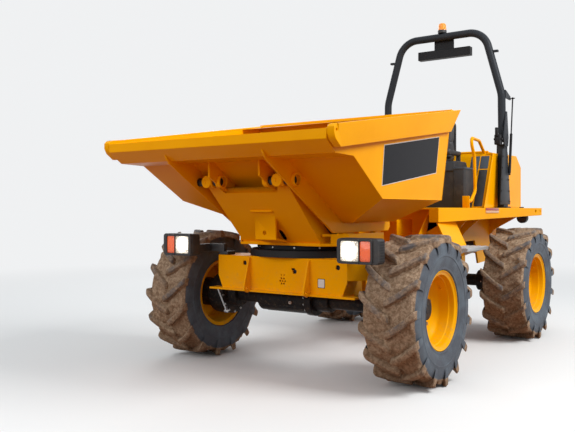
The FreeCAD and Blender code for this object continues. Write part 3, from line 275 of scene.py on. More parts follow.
@dataclass(frozen=True)
class Metal(Finish):
    """Bare or plated metal, brushed along a fine grain, with its own stains."""

    colour: Point = (0.6, 0.6, 0.62)
    stain: Point = (0.3, 0.26, 0.22)
    rough: float = 0.3
    grain: float = 300.0
    spangle: float = 0.0

    def mixed(self, graph: Graph) -> Graph:
        """Returns the graph with the metal's nodes in it."""
        stains = graph.noise(14.0, 6.0, 0.65, 2.0).ramp(0.52, 0.78)
        flakes = graph.cells(90.0) * self.spangle
        tone = graph.mix(stains * 0.6, (*self.colour, 1.0), (*self.stain, 1.0))
        graph.feed(graph.shader.inputs["Base Color"], tone)
        graph.feed(graph.shader.inputs["Roughness"], stains * 0.35 + flakes + self.rough)
        graph.shader.inputs["Metallic"].default_value = 1.0
        graph.bump(graph.noise(self.grain, 3.0) + flakes, 0.15, 0.0005)
        return graph


@dataclass(frozen=True)
class Plastic(Finish):
    """Moulded plastic or powder coat with a fine grain and a little dust."""

    colour: Point = (0.022, 0.022, 0.024)
    rough: float = 0.55
    dust_share: float = 0.3
    grain: float = 900.0

    def mixed(self, graph: Graph) -> Graph:
        """Returns the graph with the plastic's nodes in it."""
        film = graph.noise(9.0, 6.0, 0.65, 4.0).ramp(0.45, 0.8) * self.dust_share
        graph.feed(graph.shader.inputs["Base Color"], graph.mix(film, (*self.colour, 1.0), (0.16, 0.13, 0.1, 1.0)))
        graph.feed(graph.shader.inputs["Roughness"], film * 0.5 + self.rough)
        graph.bump(graph.noise(self.grain, 2.0) + graph.cells(self.grain * 0.5) * 0.5, 0.25, 0.0006)
        return graph


@dataclass(frozen=True)
class Rubber(Finish):
    """Tyre rubber round its axle: muddy grooves, scuffed bar tops, a bluish bloom and streaks on the walls."""

    rubber: Point = (0.052, 0.062, 0.08)
    mud: Point = (0.2, 0.125, 0.07)
    dry: Point = (0.42, 0.3, 0.2)
    axle_gap: float = 2.264
    axle_height: float = 0.525
    tread: float = 0.478
    track: float = 1.965

    def mixed(self, graph: Graph) -> Graph:
        """Returns the graph with the tyre's nodes in it."""
        x, y, z = graph.parts()
        behind = abs(y - along(self.axle_gap / 2)) - self.axle_gap / 2
        up = z - self.axle_height
        radius = (behind * behind + up * up).root()
        across = abs(abs(x) - self.track / 2)
        coarse = graph.noise(7.0, 8.0, 0.62)
        fine = graph.noise(46.0, 8.0, 0.7, 3.0)
        lower = up.ramp(0.3, -0.5)
        groove = radius.ramp(self.tread + 0.033, self.tread + 0.006)
        tread_zone = radius.ramp(0.452, 0.478)
        wall_streak = graph.noise(16.0, 7.0, 0.7, 9.0).ramp(0.5, 0.78) * radius.ramp(0.34, 0.47)
        cake = tread_zone * (groove * 0.5 + coarse.ramp(0.3, 0.6) * 0.35 + lower * 0.3 + 0.32)
        share = (cake + wall_streak * 0.55 + lower * wall_streak * 0.3).ramp(0.2, 0.85)
        soil = graph.mix(fine.ramp(0.38, 0.68), (*self.mud, 1.0), (*self.dry, 1.0))
        dark = graph.mix(coarse.ramp(0.4, 0.7) * across.ramp(0.12, 0.2), (*self.rubber, 1.0), (0.09, 0.12, 0.15, 1.0))
        graph.feed(graph.shader.inputs["Base Color"], graph.mix(share, dark, soil))
        graph.feed(graph.shader.inputs["Roughness"], share * 0.25 + 0.62)
        graph.bump(fine * share * 1.5 + graph.noise(160.0, 5.0, 0.6) * 0.4, 0.8, 0.004)
        return graph


@dataclass(frozen=True)
class Lens(Finish):
    """A moulded lens with a celled back, glowing round a centre: on the lamps it is lit from behind, and on the side
    reflectors, which are no lamps, the glow is painted light.
    """

    colour: Point = (1.0, 0.96, 0.9)
    glow: float = 0.0
    cell: float = 45.0
    rough: float = 0.08
    glow_centre: tuple[float, float] = (0.0, 0.0)
    spread: float = 1.0
    edge: Point = (0.1, 0.1, 0.1)

    def mixed(self, graph: Graph) -> Graph:
        """Returns the graph with the lens' nodes in it."""
        x, _, z = graph.parts()
        across, up = abs(x) - self.glow_centre[0], z - self.glow_centre[1]
        away = (across * across + up * up).root().ramp(self.spread * 0.35, self.spread)
        cells = 1.0 - graph.cells(self.cell, "DISTANCE_TO_EDGE").ramp(0.02, 0.1)
        dim = (away * 0.8 + cells * 0.45).ramp(0.0, 1.0)
        tone = graph.mix(dim, (*self.colour, 1.0), (*self.edge, 1.0))
        graph.feed(graph.shader.inputs["Base Color"], tone)
        graph.shader.inputs["Roughness"].default_value = self.rough
        graph.shader.inputs["Coat Weight"].default_value = 0.6
        graph.feed(graph.shader.inputs["Emission Color"], tone)
        graph.shader.inputs["Emission Strength"].default_value = self.glow
        graph.bump(cells, 0.4, 0.002)
        return graph


@dataclass(frozen=True)
class Vinyl(Finish):
    """Coated seat fabric: fine leather grain, soft folds and a dusty crown."""

    colour: Point = (0.028, 0.028, 0.031)

    def mixed(self, graph: Graph) -> Graph:
        """Returns the graph with the vinyl's nodes in it."""
        grain = graph.cells(420.0)
        folds = graph.noise(18.0, 4.0, 0.6)
        film = graph.noise(7.0, 6.0, 0.6, 6.0).ramp(0.5, 0.8) * 0.3
        graph.feed(graph.shader.inputs["Base Color"], graph.mix(film, (*self.colour, 1.0), (0.13, 0.11, 0.09, 1.0)))
        graph.feed(graph.shader.inputs["Roughness"], film * 0.3 + grain * 0.1 + 0.45)
        graph.bump(grain * 0.5 + folds * 0.6, 0.35, 0.0012)
        return graph


YELLOW = Paint("yellow_paint")
RIM_YELLOW = Paint("rim_paint", colour=(0.92, 0.45, 0.002), shade=(0.86, 0.38, 0.0015), rough=0.3, dust_top=0.45)
BLACK = Paint(tint=(0.9, 0.95, 1.0), slot="black_paint", colour=(0.018, 0.018, 0.02), shade=(0.03, 0.029, 0.03), dust=(0.2, 0.15, 0.1), rough=0.4)
DARK_GREY = Paint(tint=(0.9, 0.95, 1.0), slot="dark_grey_paint", colour=(0.03, 0.034, 0.04), shade=(0.042, 0.046, 0.052), rough=0.4,
                  dust=(0.2, 0.16, 0.12))
SIGN_BLACK = Paint("black_paint", "sign_panel", colour=(0.008, 0.01, 0.016), shade=(0.012, 0.014, 0.02), rough=0.3)
SIGN_WHITE = Paint("black_paint", "sign_border", colour=(0.72, 0.72, 0.7), shade=(0.62, 0.62, 0.6), rough=0.35)
COWL_YELLOW = Paint("cowl_panel", rough=0.3)
TYRE_RUBBER = Rubber("tyre")
CHROME = Metal("rod_chrome", colour=(0.78, 0.79, 0.8), rough=0.08, grain=700.0)
PIN_STEEL = Metal("pin_steel", colour=(0.42, 0.41, 0.4), rough=0.32)
GALVANISED = Metal("galvanised", colour=(0.62, 0.63, 0.64), stain=(0.34, 0.26, 0.18), rough=0.36, spangle=0.12)
ENGINE_IRON = Plastic("engine_iron", colour=(0.05, 0.05, 0.052), rough=0.5, dust_share=0.5, grain=180.0)
BLACK_PLASTIC = Plastic("black_plastic")
CLEAR_LENS = Lens("clear_lens", colour=(1.0, 0.93, 0.8), glow=1.6, cell=75.0, glow_centre=(0.74, 0.95), spread=0.095,
                  edge=(0.16, 0.14, 0.11))
ORANGE_LENS = Lens("orange_lens", colour=(0.85, 0.12, 0.015), glow=0.35, cell=90.0, glow_centre=(0.863, 0.95), spread=0.1,
                   edge=(0.3, 0.03, 0.006))
AMBER_LENS = Lens("amber_lens", colour=(0.9, 0.3, 0.01), glow=0.25, cell=60.0, glow_centre=(0.0, 3.2), spread=0.2,
                  edge=(0.5, 0.12, 0.005))
# The lower side reflectors are not lamps: their glow round the centre is painted light.
PALE_GLOWING_REFLECTOR = Lens("orange_lens", "pale_reflector_painted_glow", colour=(0.8, 0.42, 0.2), glow=0.05, cell=110.0, glow_centre=(0.79, 1.2),
                 spread=0.2)
# Also used for the upper side reflectors, which are not lamps: there its glow is painted light.
RED_LENS = Lens("orange_lens", "red_lens", colour=(0.5, 0.01, 0.008), glow=0.1, cell=80.0, glow_centre=(0.705, 1.13),
                spread=0.15, edge=(0.2, 0.005, 0.004))
SEAT_VINYL = Vinyl("seat_cover")
# Dark greasy steel; on the tipping pins, sunk in their bushes, the dark colour is also painted shade.
GREASED_AND_SHADED = Metal("pin_steel", "greased_and_shaded_pin", colour=(0.05, 0.045, 0.04), stain=(0.02, 0.018, 0.015), rough=0.45)
SLATE = Paint("dark_grey_paint", "slate_panel", colour=(0.07, 0.09, 0.115), shade=(0.09, 0.11, 0.135), rough=0.4)


class Stock:
    """Mesh parts that several sub-assemblies cut their pieces from. Each is added to a bmesh."""

    @staticmethod
    def lathe(target: bmesh.types.BMesh, profile: Sequence[tuple[float, float]], count: int, where: Matrix,
              closed: bool = False) -> None:
        """Carries (x, radius) points round the X axis.

        Args:
            target: the mesh to add to.
            profile: the points, from one end to the other. A radius of 0 is a pole.
            count: how many segments go round.
            where: places the shape.
            closed: joins the last point to the first.
        """
        rings = []
        for x, radius in profile:
            if radius < 1e-6:
                rings.append([target.verts.new(where @ Vector((x, 0, 0)))])
                continue
            turns = [2 * math.pi * number / count for number in range(count)]
            rings.append([target.verts.new(where @ Vector((x, radius * math.sin(t), -radius * math.cos(t))))
                          for t in turns])
        following = rings[1:] + (rings[:1] if closed else [])
        for ring, ahead in zip(rings, following):
            for k in range(count):
                near = (k + 1) % count
                loop = [ring[k % len(ring)], ring[near % len(ring)], ahead[near % len(ahead)], ahead[k % len(ahead)]]
                target.faces.new(list(dict.fromkeys(loop)))

    @staticmethod
    def turned(target: bmesh.types.BMesh, start: Point, end: Point, profile: Sequence[tuple[float, float]],
               count: int = 40) -> None:
        """Adds a lathe shape whose axis runs from one point to another, its x measured from the first."""
        line = Vector(end) - Vector(start)
        where = Matrix.Translation(Vector(start)) @ line.to_track_quat("X", "Z").to_matrix().to_4x4()
        Stock.lathe(target, profile, count, where)

    @staticmethod
    def bar(target: bmesh.types.BMesh, start: Point, end: Point, radius: float, edge: float = 0.002,
            count: int = 40) -> None:
        """Adds a round bar with broken edges between two points."""
        length = (Vector(end) - Vector(start)).length
        profile = [(0, 0), (0, radius - edge), (edge, radius), (length - edge, radius), (length, radius - edge),
                   (length, 0)]
        Stock.turned(target, start, end, profile, count)

    @staticmethod
    def peg(target: bmesh.types.BMesh, start: Point, end: Point, radius: float, count: int = 28) -> None:
        """Adds a plain round bar with sharp ends, to cut with."""
        length = (Vector(end) - Vector(start)).length
        Stock.turned(target, start, end, [(0, 0), (0, radius), (length, radius), (length, 0)], count)

    @staticmethod
    def tube(target: bmesh.types.BMesh, line: Sequence[Vector], radius: float, count: int = 24) -> None:
        """Adds a round tube along a line of points, closed at both ends."""
        ahead = (line[1] - line[0]).normalized()
        aside = ahead.orthogonal().normalized()
        rings = []
        for number, point in enumerate(line):
            before = line[max(number - 1, 0)]
            after = line[min(number + 1, len(line) - 1)]
            run = (after - before).normalized()
            aside = (aside - run * aside.dot(run)).normalized()
            up = run.cross(aside)
            rings.append([target.verts.new(point + aside * (radius * math.cos(2 * math.pi * k / count))
                                           + up * (radius * math.sin(2 * math.pi * k / count)))
                          for k in range(count)])
        for ring, following in zip(rings, rings[1:]):
            for k in range(count):
                near = (k + 1) % count
                target.faces.new((ring[k], ring[near], following[near], following[k]))
        target.faces.new(list(reversed(rings[0])))
        target.faces.new(rings[-1])

    @staticmethod
    def block(target: bmesh.types.BMesh, low: Point, high: Point, edge: float = 0.0) -> None:
        """Adds a block between two corners, its edges rounded by edge."""
        made = bmesh.ops.create_cube(target, size=1.0)["verts"]
        size = [b - a for a, b in zip(low, high)]
        middle = [(a + b) / 2 for a, b in zip(low, high)]
        for vert in made:
            vert.co = Vector([m + v * s for m, v, s in zip(middle, vert.co, size)])
        if edge > 0:
            edges = list({e for vert in made for e in vert.link_edges})
            bmesh.ops.bevel(target, geom=edges, offset=edge, segments=2, profile=0.5, affect="EDGES")


    @staticmethod
    def plate(target: bmesh.types.BMesh, place: "Placing", outline: Sequence[tuple[float, float]], low: float,
              high: float, edge: float = 0.0, segments: int = 2) -> None:
        """Adds a flat outline with a thickness.

        Args:
            target: the mesh to add to.
            place: turns an outline's point and a depth into the frame's point.
            outline: the outline's points.
            low: where one face is, across the plane.
            high: where the other face is.
            edge: how far the edges are rounded.
            segments: how many steps a rounded edge has.
        """
        loops = [[target.verts.new(place(a, b, depth)) for a, b in outline] for depth in (low, high)]
        faces = [target.faces.new(loop) for loop in loops]
        for k in range(len(outline)):
            near = (k + 1) % len(outline)
            faces.append(target.faces.new((loops[0][k], loops[0][near], loops[1][near], loops[1][k])))
        bmesh.ops.recalc_face_normals(target, faces=faces)
        if edge > 0:
            edges = list({e for face in faces for e in face.edges})
            bmesh.ops.bevel(target, geom=edges, offset=edge, segments=segments, profile=0.5, affect="EDGES")

    @staticmethod
    def frame(target: bmesh.types.BMesh, place: "Placing", outer: Sequence[tuple[float, float]],
              inner: Sequence[tuple[float, float]], low: float, high: float, lip: float = 0.0015) -> None:
        """Adds a flat ring between two outlines of as many points, its outer edges broken by a lip."""
        loops = []
        for outline, depth, shrink in ((outer, low, 1.0), (outer, high - lip, 1.0), (outer, high, 0.0),
                                       (inner, high, 0.0), (inner, high - lip, 1.0), (inner, low, 1.0)):
            middle = [sum(point[axis] for point in outer) / len(outer) for axis in (0, 1)]
            turned = lip if shrink == 0.0 else 0.0
            sense = -1.0 if outline is outer else 1.0
            moved = [(a + sense * turned * math.copysign(1, a - middle[0]),
                      b + sense * turned * math.copysign(1, b - middle[1])) for a, b in outline]
            loops.append([target.verts.new(place(a, b, depth)) for a, b in moved])
        for loop, ahead in zip(loops, loops[1:] + loops[:1]):
            for k in range(len(loop)):
                near = (k + 1) % len(loop)
                target.faces.new((loop[k], loop[near], ahead[near], ahead[k]))

    @staticmethod
    def weld(target: bmesh.types.BMesh, start: Point, end: Point, radius: float = 0.004) -> None:
        """Adds a rippled weld bead between two points."""
        first, last = Vector(start), Vector(end)
        length = (last - first).length
        count = max(4, round(length / 0.006))
        run = (last - first).normalized()
        aside = run.orthogonal().normalized()
        up = run.cross(aside)
        rings = []
        for number in range(count + 1):
            point = first.lerp(last, number / count)
            swell = radius * (0.86 + 0.22 * (number % 2)) * (1 + 0.12 * noise.noise(point * 60))
            rings.append([target.verts.new(point + aside * (swell * math.cos(k * math.pi / 3))
                                           + up * (swell * math.sin(k * math.pi / 3))) for k in range(6)])
        for ring, following in zip(rings, rings[1:]):
            for k in range(6):
                near = (k + 1) % 6
                target.faces.new((ring[k], ring[near], following[near], following[k]))
        target.faces.new(rings[0])
        target.faces.new(rings[-1])


class Plane(Enum):
    """The plane that a flat outline lies in."""

    SIDE = "side"
    CROSS = "cross"
    LEVEL = "level"

    def point(self, a: float, b: float, depth: float) -> Vector:
        """Returns the frame's point of an outline's point.

        Args:
            a: the place behind the front axle on a side plane, or across the machine.
            b: the height, or the place behind the front axle on a level plane.
            depth: the place across the plane.

        Returns:
            The point.
        """
        if self is Plane.SIDE:
            return Vector((depth, along(a), b))
        if self is Plane.CROSS:
            return Vector((a, along(depth), b))
        return Vector((a, along(b), depth))


def rounded(low: tuple[float, float], high: tuple[float, float], radius: float, steps: int = 5) -> list:
    """Returns the outline of a rectangle with round corners.

    Args:
        low: its lowest corner.
        high: its highest corner.
        radius: the corners' radius.
        steps: how many steps a corner has.

    Returns:
        The outline's points.
    """
    points = []
    for quarter, (a, b) in enumerate(((high[0], high[1]), (low[0], high[1]), (low[0], low[1]), (high[0], low[1]))):
        centre = (a - math.copysign(radius, a - (low[0] + high[0]) / 2),
                  b - math.copysign(radius, b - (low[1] + high[1]) / 2))
        for k in range(steps + 1):
            angle = (quarter + k / steps) * math.pi / 2
            points.append((centre[0] + radius * math.cos(angle), centre[1] + radius * math.sin(angle)))
    return points


def bent(points: Sequence[Point], bends: Sequence[float], step: float = 0.09) -> list[Vector]:
    """Rounds the corners of a line.

    Args:
        points: the line's corners and ends.
        bends: the bend radius at each corner.
        step: the turn between two stations on a bend, in radians.

    Returns:
        The stations along the line.
    """
    stops = [Vector(point) for point in points]
    stations = [stops[0]]
    for before, corner, after, radius in zip(stops, stops[1:], stops[2:], bends):
        back = (before - corner).normalized()
        ahead = (after - corner).normalized()
        half = back.angle(ahead) / 2
        centre = corner + (back + ahead).normalized() * (radius / math.sin(half))
        first = corner + back * (radius / math.tan(half)) - centre
        last = corner + ahead * (radius / math.tan(half)) - centre
        count = max(2, round(first.angle(last) / step))
        turn, axis = first.angle(last), first.cross(last)
        stations += [centre + Matrix.Rotation(turn * k / count, 3, axis) @ first for k in range(count + 1)]
    return stations + [stops[-1]]


class Layout(Enum):
    """How copies of a small item are set out."""

    RING = "ring"
    GRID = "grid"


class Item(Enum):
    """The small items that are repeated."""

    HEX_BOLT = "hex_bolt"
    ROUND_HEAD = "round_head"
    BAR = "bar"


class Repeat:
    """A Geometry Nodes tree that sets out copies of one item and joins them into one mesh."""

    def __init__(self, layout: Layout, item: Item) -> None:
        """Builds the tree.

        Args:
            layout: a ring or a grid of copies, in the tree's own X-Y plane.
            item: what is copied, standing along its own Z.
        """
        self.tree = bpy.data.node_groups.new(f"repeat_{layout.value}_{item.value}", "GeometryNodeTree")
        self.tree.is_modifier = True
        face = self.tree.interface
        face.new_socket("Geometry", in_out="INPUT", socket_type="NodeSocketGeometry")
        face.new_socket("Geometry", in_out="OUTPUT", socket_type="NodeSocketGeometry")
        for name, kind in (("Columns", "Int"), ("Rows", "Int"), ("Span", "Float"), ("Depth", "Float"),
                           ("Size", "Vector"), ("Place", "Vector"), ("Turn", "Vector"), ("Finish", "Material")):
            face.new_socket(name, in_out="INPUT", socket_type="NodeSocket" + kind)
        self.given = self.tree.nodes.new("NodeGroupInput").outputs
        if layout is Layout.RING:
            points = self._node("MeshCircle", {}, {"Vertices": self.given["Columns"], "Radius": self.given["Span"]})
        else:
            points = self._node("MeshGrid", {}, {"Vertices X": self.given["Columns"],
                                                 "Vertices Y": self.given["Rows"],
                                                 "Size X": self.given["Span"], "Size Y": self.given["Depth"]})
        turn = self._node("RandomValue", {"data_type": "FLOAT"}, {"Min": 0.0, "Max": 6.283, "Seed": 5},
                          "FunctionNode")
        spin = self._node("CombineXYZ", {}, {"Z": turn.outputs[1]}, "ShaderNode")
        inputs = {"Points": points.outputs[0], "Instance": self._item(item)}
        if item is Item.HEX_BOLT:
            inputs["Rotation"] = spin.outputs[0]
        copies = self._node("InstanceOnPoints", {}, inputs)
        solid = self._node("RealizeInstances", {}, {0: copies.outputs[0]})
        moved = self._node("Transform", {}, {"Geometry": solid.outputs[0], "Translation": self.given["Place"],
                                             "Rotation": self.given["Turn"]})
        done = self._node("SetMaterial", {}, {"Geometry": moved.outputs[0], "Material": self.given["Finish"]})
        out = self.tree.nodes.new("NodeGroupOutput")
        self.tree.links.new(done.outputs[0], out.inputs[0])

    def _node(self, kind: str, settings: dict, inputs: dict, family: str = "GeometryNode") -> bpy.types.Node:
        """Returns a new node with its settings and inputs set."""
        made = self.tree.nodes.new(family + kind)
        for key, value in settings.items():
            setattr(made, key, value)
        for key, value in inputs.items():
            if isinstance(value, bpy.types.NodeSocket):
                self.tree.links.new(value, made.inputs[key])
            else:
                made.inputs[key].default_value = value
        return made

    def _item(self, item: Item) -> bpy.types.NodeSocket:
        """Returns the socket that gives the item's mesh, made from the Size input."""
        size = self._node("SeparateXYZ", {}, {0: self.given["Size"]}, "ShaderNode").outputs
        if item is Item.BAR:
            return self._node("MeshCube", {}, {"Size": self.given["Size"]}).outputs[0]
        half = self._node("Math", {"operation": "MULTIPLY"}, {0: size[2], 1: 0.5}, "ShaderNode").outputs[0]
        sides = 6 if item is Item.HEX_BOLT else 14
        head = self._node("MeshCylinder", {}, {"Vertices": sides, "Radius": size[0], "Depth": size[2]})
        lift = self._node("CombineXYZ", {}, {"Z": half}, "ShaderNode").outputs[0]
        raised = self._node("Transform", {}, {"Geometry": head.outputs[0], "Translation": lift})
        if item is Item.ROUND_HEAD:
            return raised.outputs[0]
        washer = self._node("MeshCylinder", {}, {"Vertices": 16, "Radius": size[1], "Depth": half})
        return self._joined(raised.outputs[0], washer.outputs[0])

    def _joined(self, first: bpy.types.NodeSocket, second: bpy.types.NodeSocket) -> bpy.types.NodeSocket:
        """Returns both geometries as one."""
        join = self.tree.nodes.new("GeometryNodeJoinGeometry")
        self.tree.links.new(first, join.inputs[0])
        self.tree.links.new(second, join.inputs[0])
        return join.outputs[0]

    def mesh(self, values: dict) -> bpy.types.Mesh:
        """Runs the tree once.

        Args:
            values: its inputs by name. A Turn is in radians about X, Y and Z.

        Returns:
            The plain mesh.
        """
        holder = bpy.data.objects.new("holder", bpy.data.meshes.new("holder"))
        bpy.context.scene.collection.objects.link(holder)
        modifier = holder.modifiers.new("repeat", "NODES")
        modifier.node_group = self.tree
        names = {socket.name: socket.identifier for socket in self.tree.interface.items_tree
                 if socket.in_out == "INPUT"}
        for name, value in values.items():
            modifier[names[name]] = value
        mesh = bpy.data.meshes.new_from_object(holder.evaluated_get(bpy.context.evaluated_depsgraph_get()))
        bpy.data.objects.remove(holder)
        return mesh


@dataclass
class Assembly:
    """What every sub-assembly can do: file its pieces, dress solids, and set out small items."""

    body: str

    def piece(self, name: str, mesh: bpy.types.Mesh, finish: Finish, replaced: Sequence[str] = (),
              body: str = "", smooth: float = 35.0) -> bpy.types.Object:
        """Files a finished mesh as a piece that rides on a body.

        Args:
            name: the piece's name.
            mesh: its mesh, in the frame's place.
            finish: its finish.
            replaced: the solids that it stands for.
            body: the body that it rides on, or the assembly's own.
            smooth: faces that meet at less than this many degrees look smooth.

        Returns:
            The piece.
        """
        made = bpy.data.objects.new(name, mesh)
        bpy.context.scene.collection.objects.link(made)
        mesh.name = name
        mesh.materials.clear()
        mesh.materials.append(finish.material())
        mesh.shade_smooth()
        mesh.set_sharp_from_angle(angle=math.radians(smooth))
        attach(made, body or self.body)
        if replaced:
            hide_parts(*replaced)
        LOG.info("piece %s with %d faces", name, len(mesh.polygons))
        return made

    def shaped(self, name: str, shape: Callable[[bmesh.types.BMesh], None], finish: Finish,
               replaced: Sequence[str] = (), body: str = "", smooth: float = 35.0) -> bpy.types.Object:
        """Files a piece whose mesh a function adds to a new bmesh."""
        target = bmesh.new()
        shape(target)
        bmesh.ops.remove_doubles(target, verts=target.verts, dist=1e-6)
        bmesh.ops.recalc_face_normals(target, faces=target.faces)
        mesh = bpy.data.meshes.new(name)
        target.to_mesh(mesh)
        target.free()
        return self.piece(name, mesh, finish, replaced, body, smooth)

    def dressed(self, node: str, finish: Finish, edge: float = 0.0025, limit: float = 42.0,
                body: str = "", cuts: Callable[[bmesh.types.BMesh], None] | None = None) -> bpy.types.Object:
        """Stands a copy with broken edges in for a solid whose shape is right.

        Args:
            node: the solid's node.
            finish: the copy's finish.
            edge: how far its edges are rounded.
            limit: edges that turn by less than this many degrees stay.
            body: the body that it rides on, or the assembly's own.
            cuts: adds what is cut from the copy first.

        Returns:
            The copy.
        """
        source = bpy.data.objects[node]
        target = bmesh.new()
        target.from_mesh(source.data)
        bmesh.ops.remove_doubles(target, verts=target.verts, dist=2e-5)
        bmesh.ops.dissolve_limit(target, angle_limit=math.radians(0.6), verts=target.verts, edges=target.edges)
        mesh = bpy.data.meshes.new(node + "_finished")
        target.to_mesh(mesh)
        target.free()
        copy = bpy.data.objects.new(node + "_shape", mesh)
        bpy.context.scene.collection.objects.link(copy)
        if cuts:
            self._cut(copy, cuts)
        bevel = copy.modifiers.new("edges", "BEVEL")
        bevel.width = edge
        bevel.segments = 2
        bevel.limit_method = "ANGLE"
        bevel.angle_limit = math.radians(limit)
        bevel.use_clamp_overlap = False
        bevel.miter_outer = "MITER_SHARP"
        finished = bpy.data.meshes.new_from_object(copy.evaluated_get(bpy.context.evaluated_depsgraph_get()))
        bpy.data.objects.remove(copy)
        low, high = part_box(node)
        for vert in finished.vertices:
            vert.co = Vector([min(max(place, least), most) for place, least, most in zip(vert.co, low, high)])
        made = self.piece(node + "_finished", finished, finish, (node,), body, 32.0)
        even = made.modifiers.new("even", "WEIGHTED_NORMAL")
        even.keep_sharp = True
        self._settle(made)
        return made

    def _cut(self, copy: bpy.types.Object, cuts: Callable[[bmesh.types.BMesh], None]) -> None:
        """Cuts shapes from a copy."""
        tool = bmesh.new()
        cuts(tool)
        bmesh.ops.recalc_face_normals(tool, faces=tool.faces)
        mesh = bpy.data.meshes.new("tool")
        tool.to_mesh(mesh)
        tool.free()
        cutter = bpy.data.objects.new("tool", mesh)
        bpy.context.scene.collection.objects.link(cutter)
        boolean = copy.modifiers.new("cut", "BOOLEAN")
        boolean.operation = "DIFFERENCE"
        boolean.solver = "EXACT"
        boolean.use_self = True
        boolean.object = cutter
        copy.data = bpy.data.meshes.new_from_object(copy.evaluated_get(bpy.context.evaluated_depsgraph_get()))
        copy.modifiers.clear()
        bpy.data.objects.remove(cutter)

    def repeated(self, name: str, layout: Layout, item: Item, finish: Finish, spots: Iterable[dict],
                 body: str = "") -> bpy.types.Object:
        """Files one piece made of set-out copies of a small item.

        Args:
            name: the piece's name.
            layout: a ring or a grid.
            item: what is copied.
            finish: its finish.
            spots: the tree's inputs for each group of copies.
            body: the body that it rides on, or the assembly's own.

        Returns:
            The piece.
        """
        tree = Repeat(layout, item)
        joined = bmesh.new()
        for spot in spots:
            mesh = tree.mesh({"Rows": 1, "Depth": 0.0, "Turn": (0.0, 0.0, 0.0), "Finish": finish.material(), **spot})
            joined.from_mesh(mesh)
        mesh = bpy.data.meshes.new(name)
        joined.to_mesh(mesh)
        joined.free()
        return self.piece(name, mesh, finish, (), body, 30.0)

    def padded(self, name: str, shape: Callable[[bmesh.types.BMesh], None], finish: Finish,
               replaced: Sequence[str] = (), fill: float = 0.7, cap: float = 0.012) -> bpy.types.Object:
        """Files a cushion, blown up a little by cloth pressure.

        Args:
            name: the piece's name.
            shape: adds the slightly smaller form that it starts from.
            finish: its finish.
            replaced: the solids that it stands for.
            fill: how tight it is, from 0 to 1. Not used.
            cap: how far a point may move.

        Returns:
            The cushion.
        """
        target = bmesh.new()
        shape(target)
        bmesh.ops.recalc_face_normals(target, faces=target.faces)
        mesh = bpy.data.meshes.new(name)
        target.to_mesh(mesh)
        target.free()
        holder = bpy.data.objects.new(name + "_holder", mesh)
        bpy.context.scene.collection.objects.link(holder)
        remesh = holder.modifiers.new("remesh", "REMESH")
        remesh.mode = "VOXEL"
        remesh.voxel_size = 0.006
        self._settle(holder)
        start = [vert.co.copy() for vert in holder.data.vertices]
        cloth = holder.modifiers.new("cloth", "CLOTH")
        cloth.settings.use_pressure = True
        cloth.settings.uniform_pressure_force = 4.0
        cloth.settings.effector_weights.gravity = 0.0
        for frame in range(1, 21):
            bpy.context.scene.frame_set(frame)
        self._settle(holder)
        bpy.context.scene.frame_set(1)
        for vert, first in zip(holder.data.vertices, start):
            move = vert.co - first
            if move.length > cap:
                vert.co = first + move.normalized() * cap
        smooth = holder.modifiers.new("smooth", "SUBSURF")
        smooth.levels = 1
        smooth.render_levels = 1
        self._settle(holder)
        mesh = holder.data
        bpy.data.objects.remove(holder)
        made = self.piece(name, mesh, finish, replaced, "", 180.0)
        return made

    def _settle(self, holder: bpy.types.Object) -> None:
        """Makes what an object's modifiers give its plain mesh."""
        mesh = bpy.data.meshes.new_from_object(holder.evaluated_get(bpy.context.evaluated_depsgraph_get()))
        holder.modifiers.clear()
        holder.data = mesh

    def painted(self, nodes: Iterable[str], finish: Finish) -> None:
        """Gives solids that stay as they are their finish."""
        for node in nodes:
            mesh = bpy.data.objects[node].data
            mesh.materials.clear()
            mesh.materials.append(finish.material())


TURN_TO_X = (0.0, math.pi / 2, 0.0)
TURN_TO_LEFT = {1: (0.0, math.pi / 2, 0.0), -1: (0.0, -math.pi / 2, 0.0)}
TURN_TO_FRONT = (math.pi / 2, 0.0, 0.0)
TURN_TO_REAR = (-math.pi / 2, 0.0, 0.0)


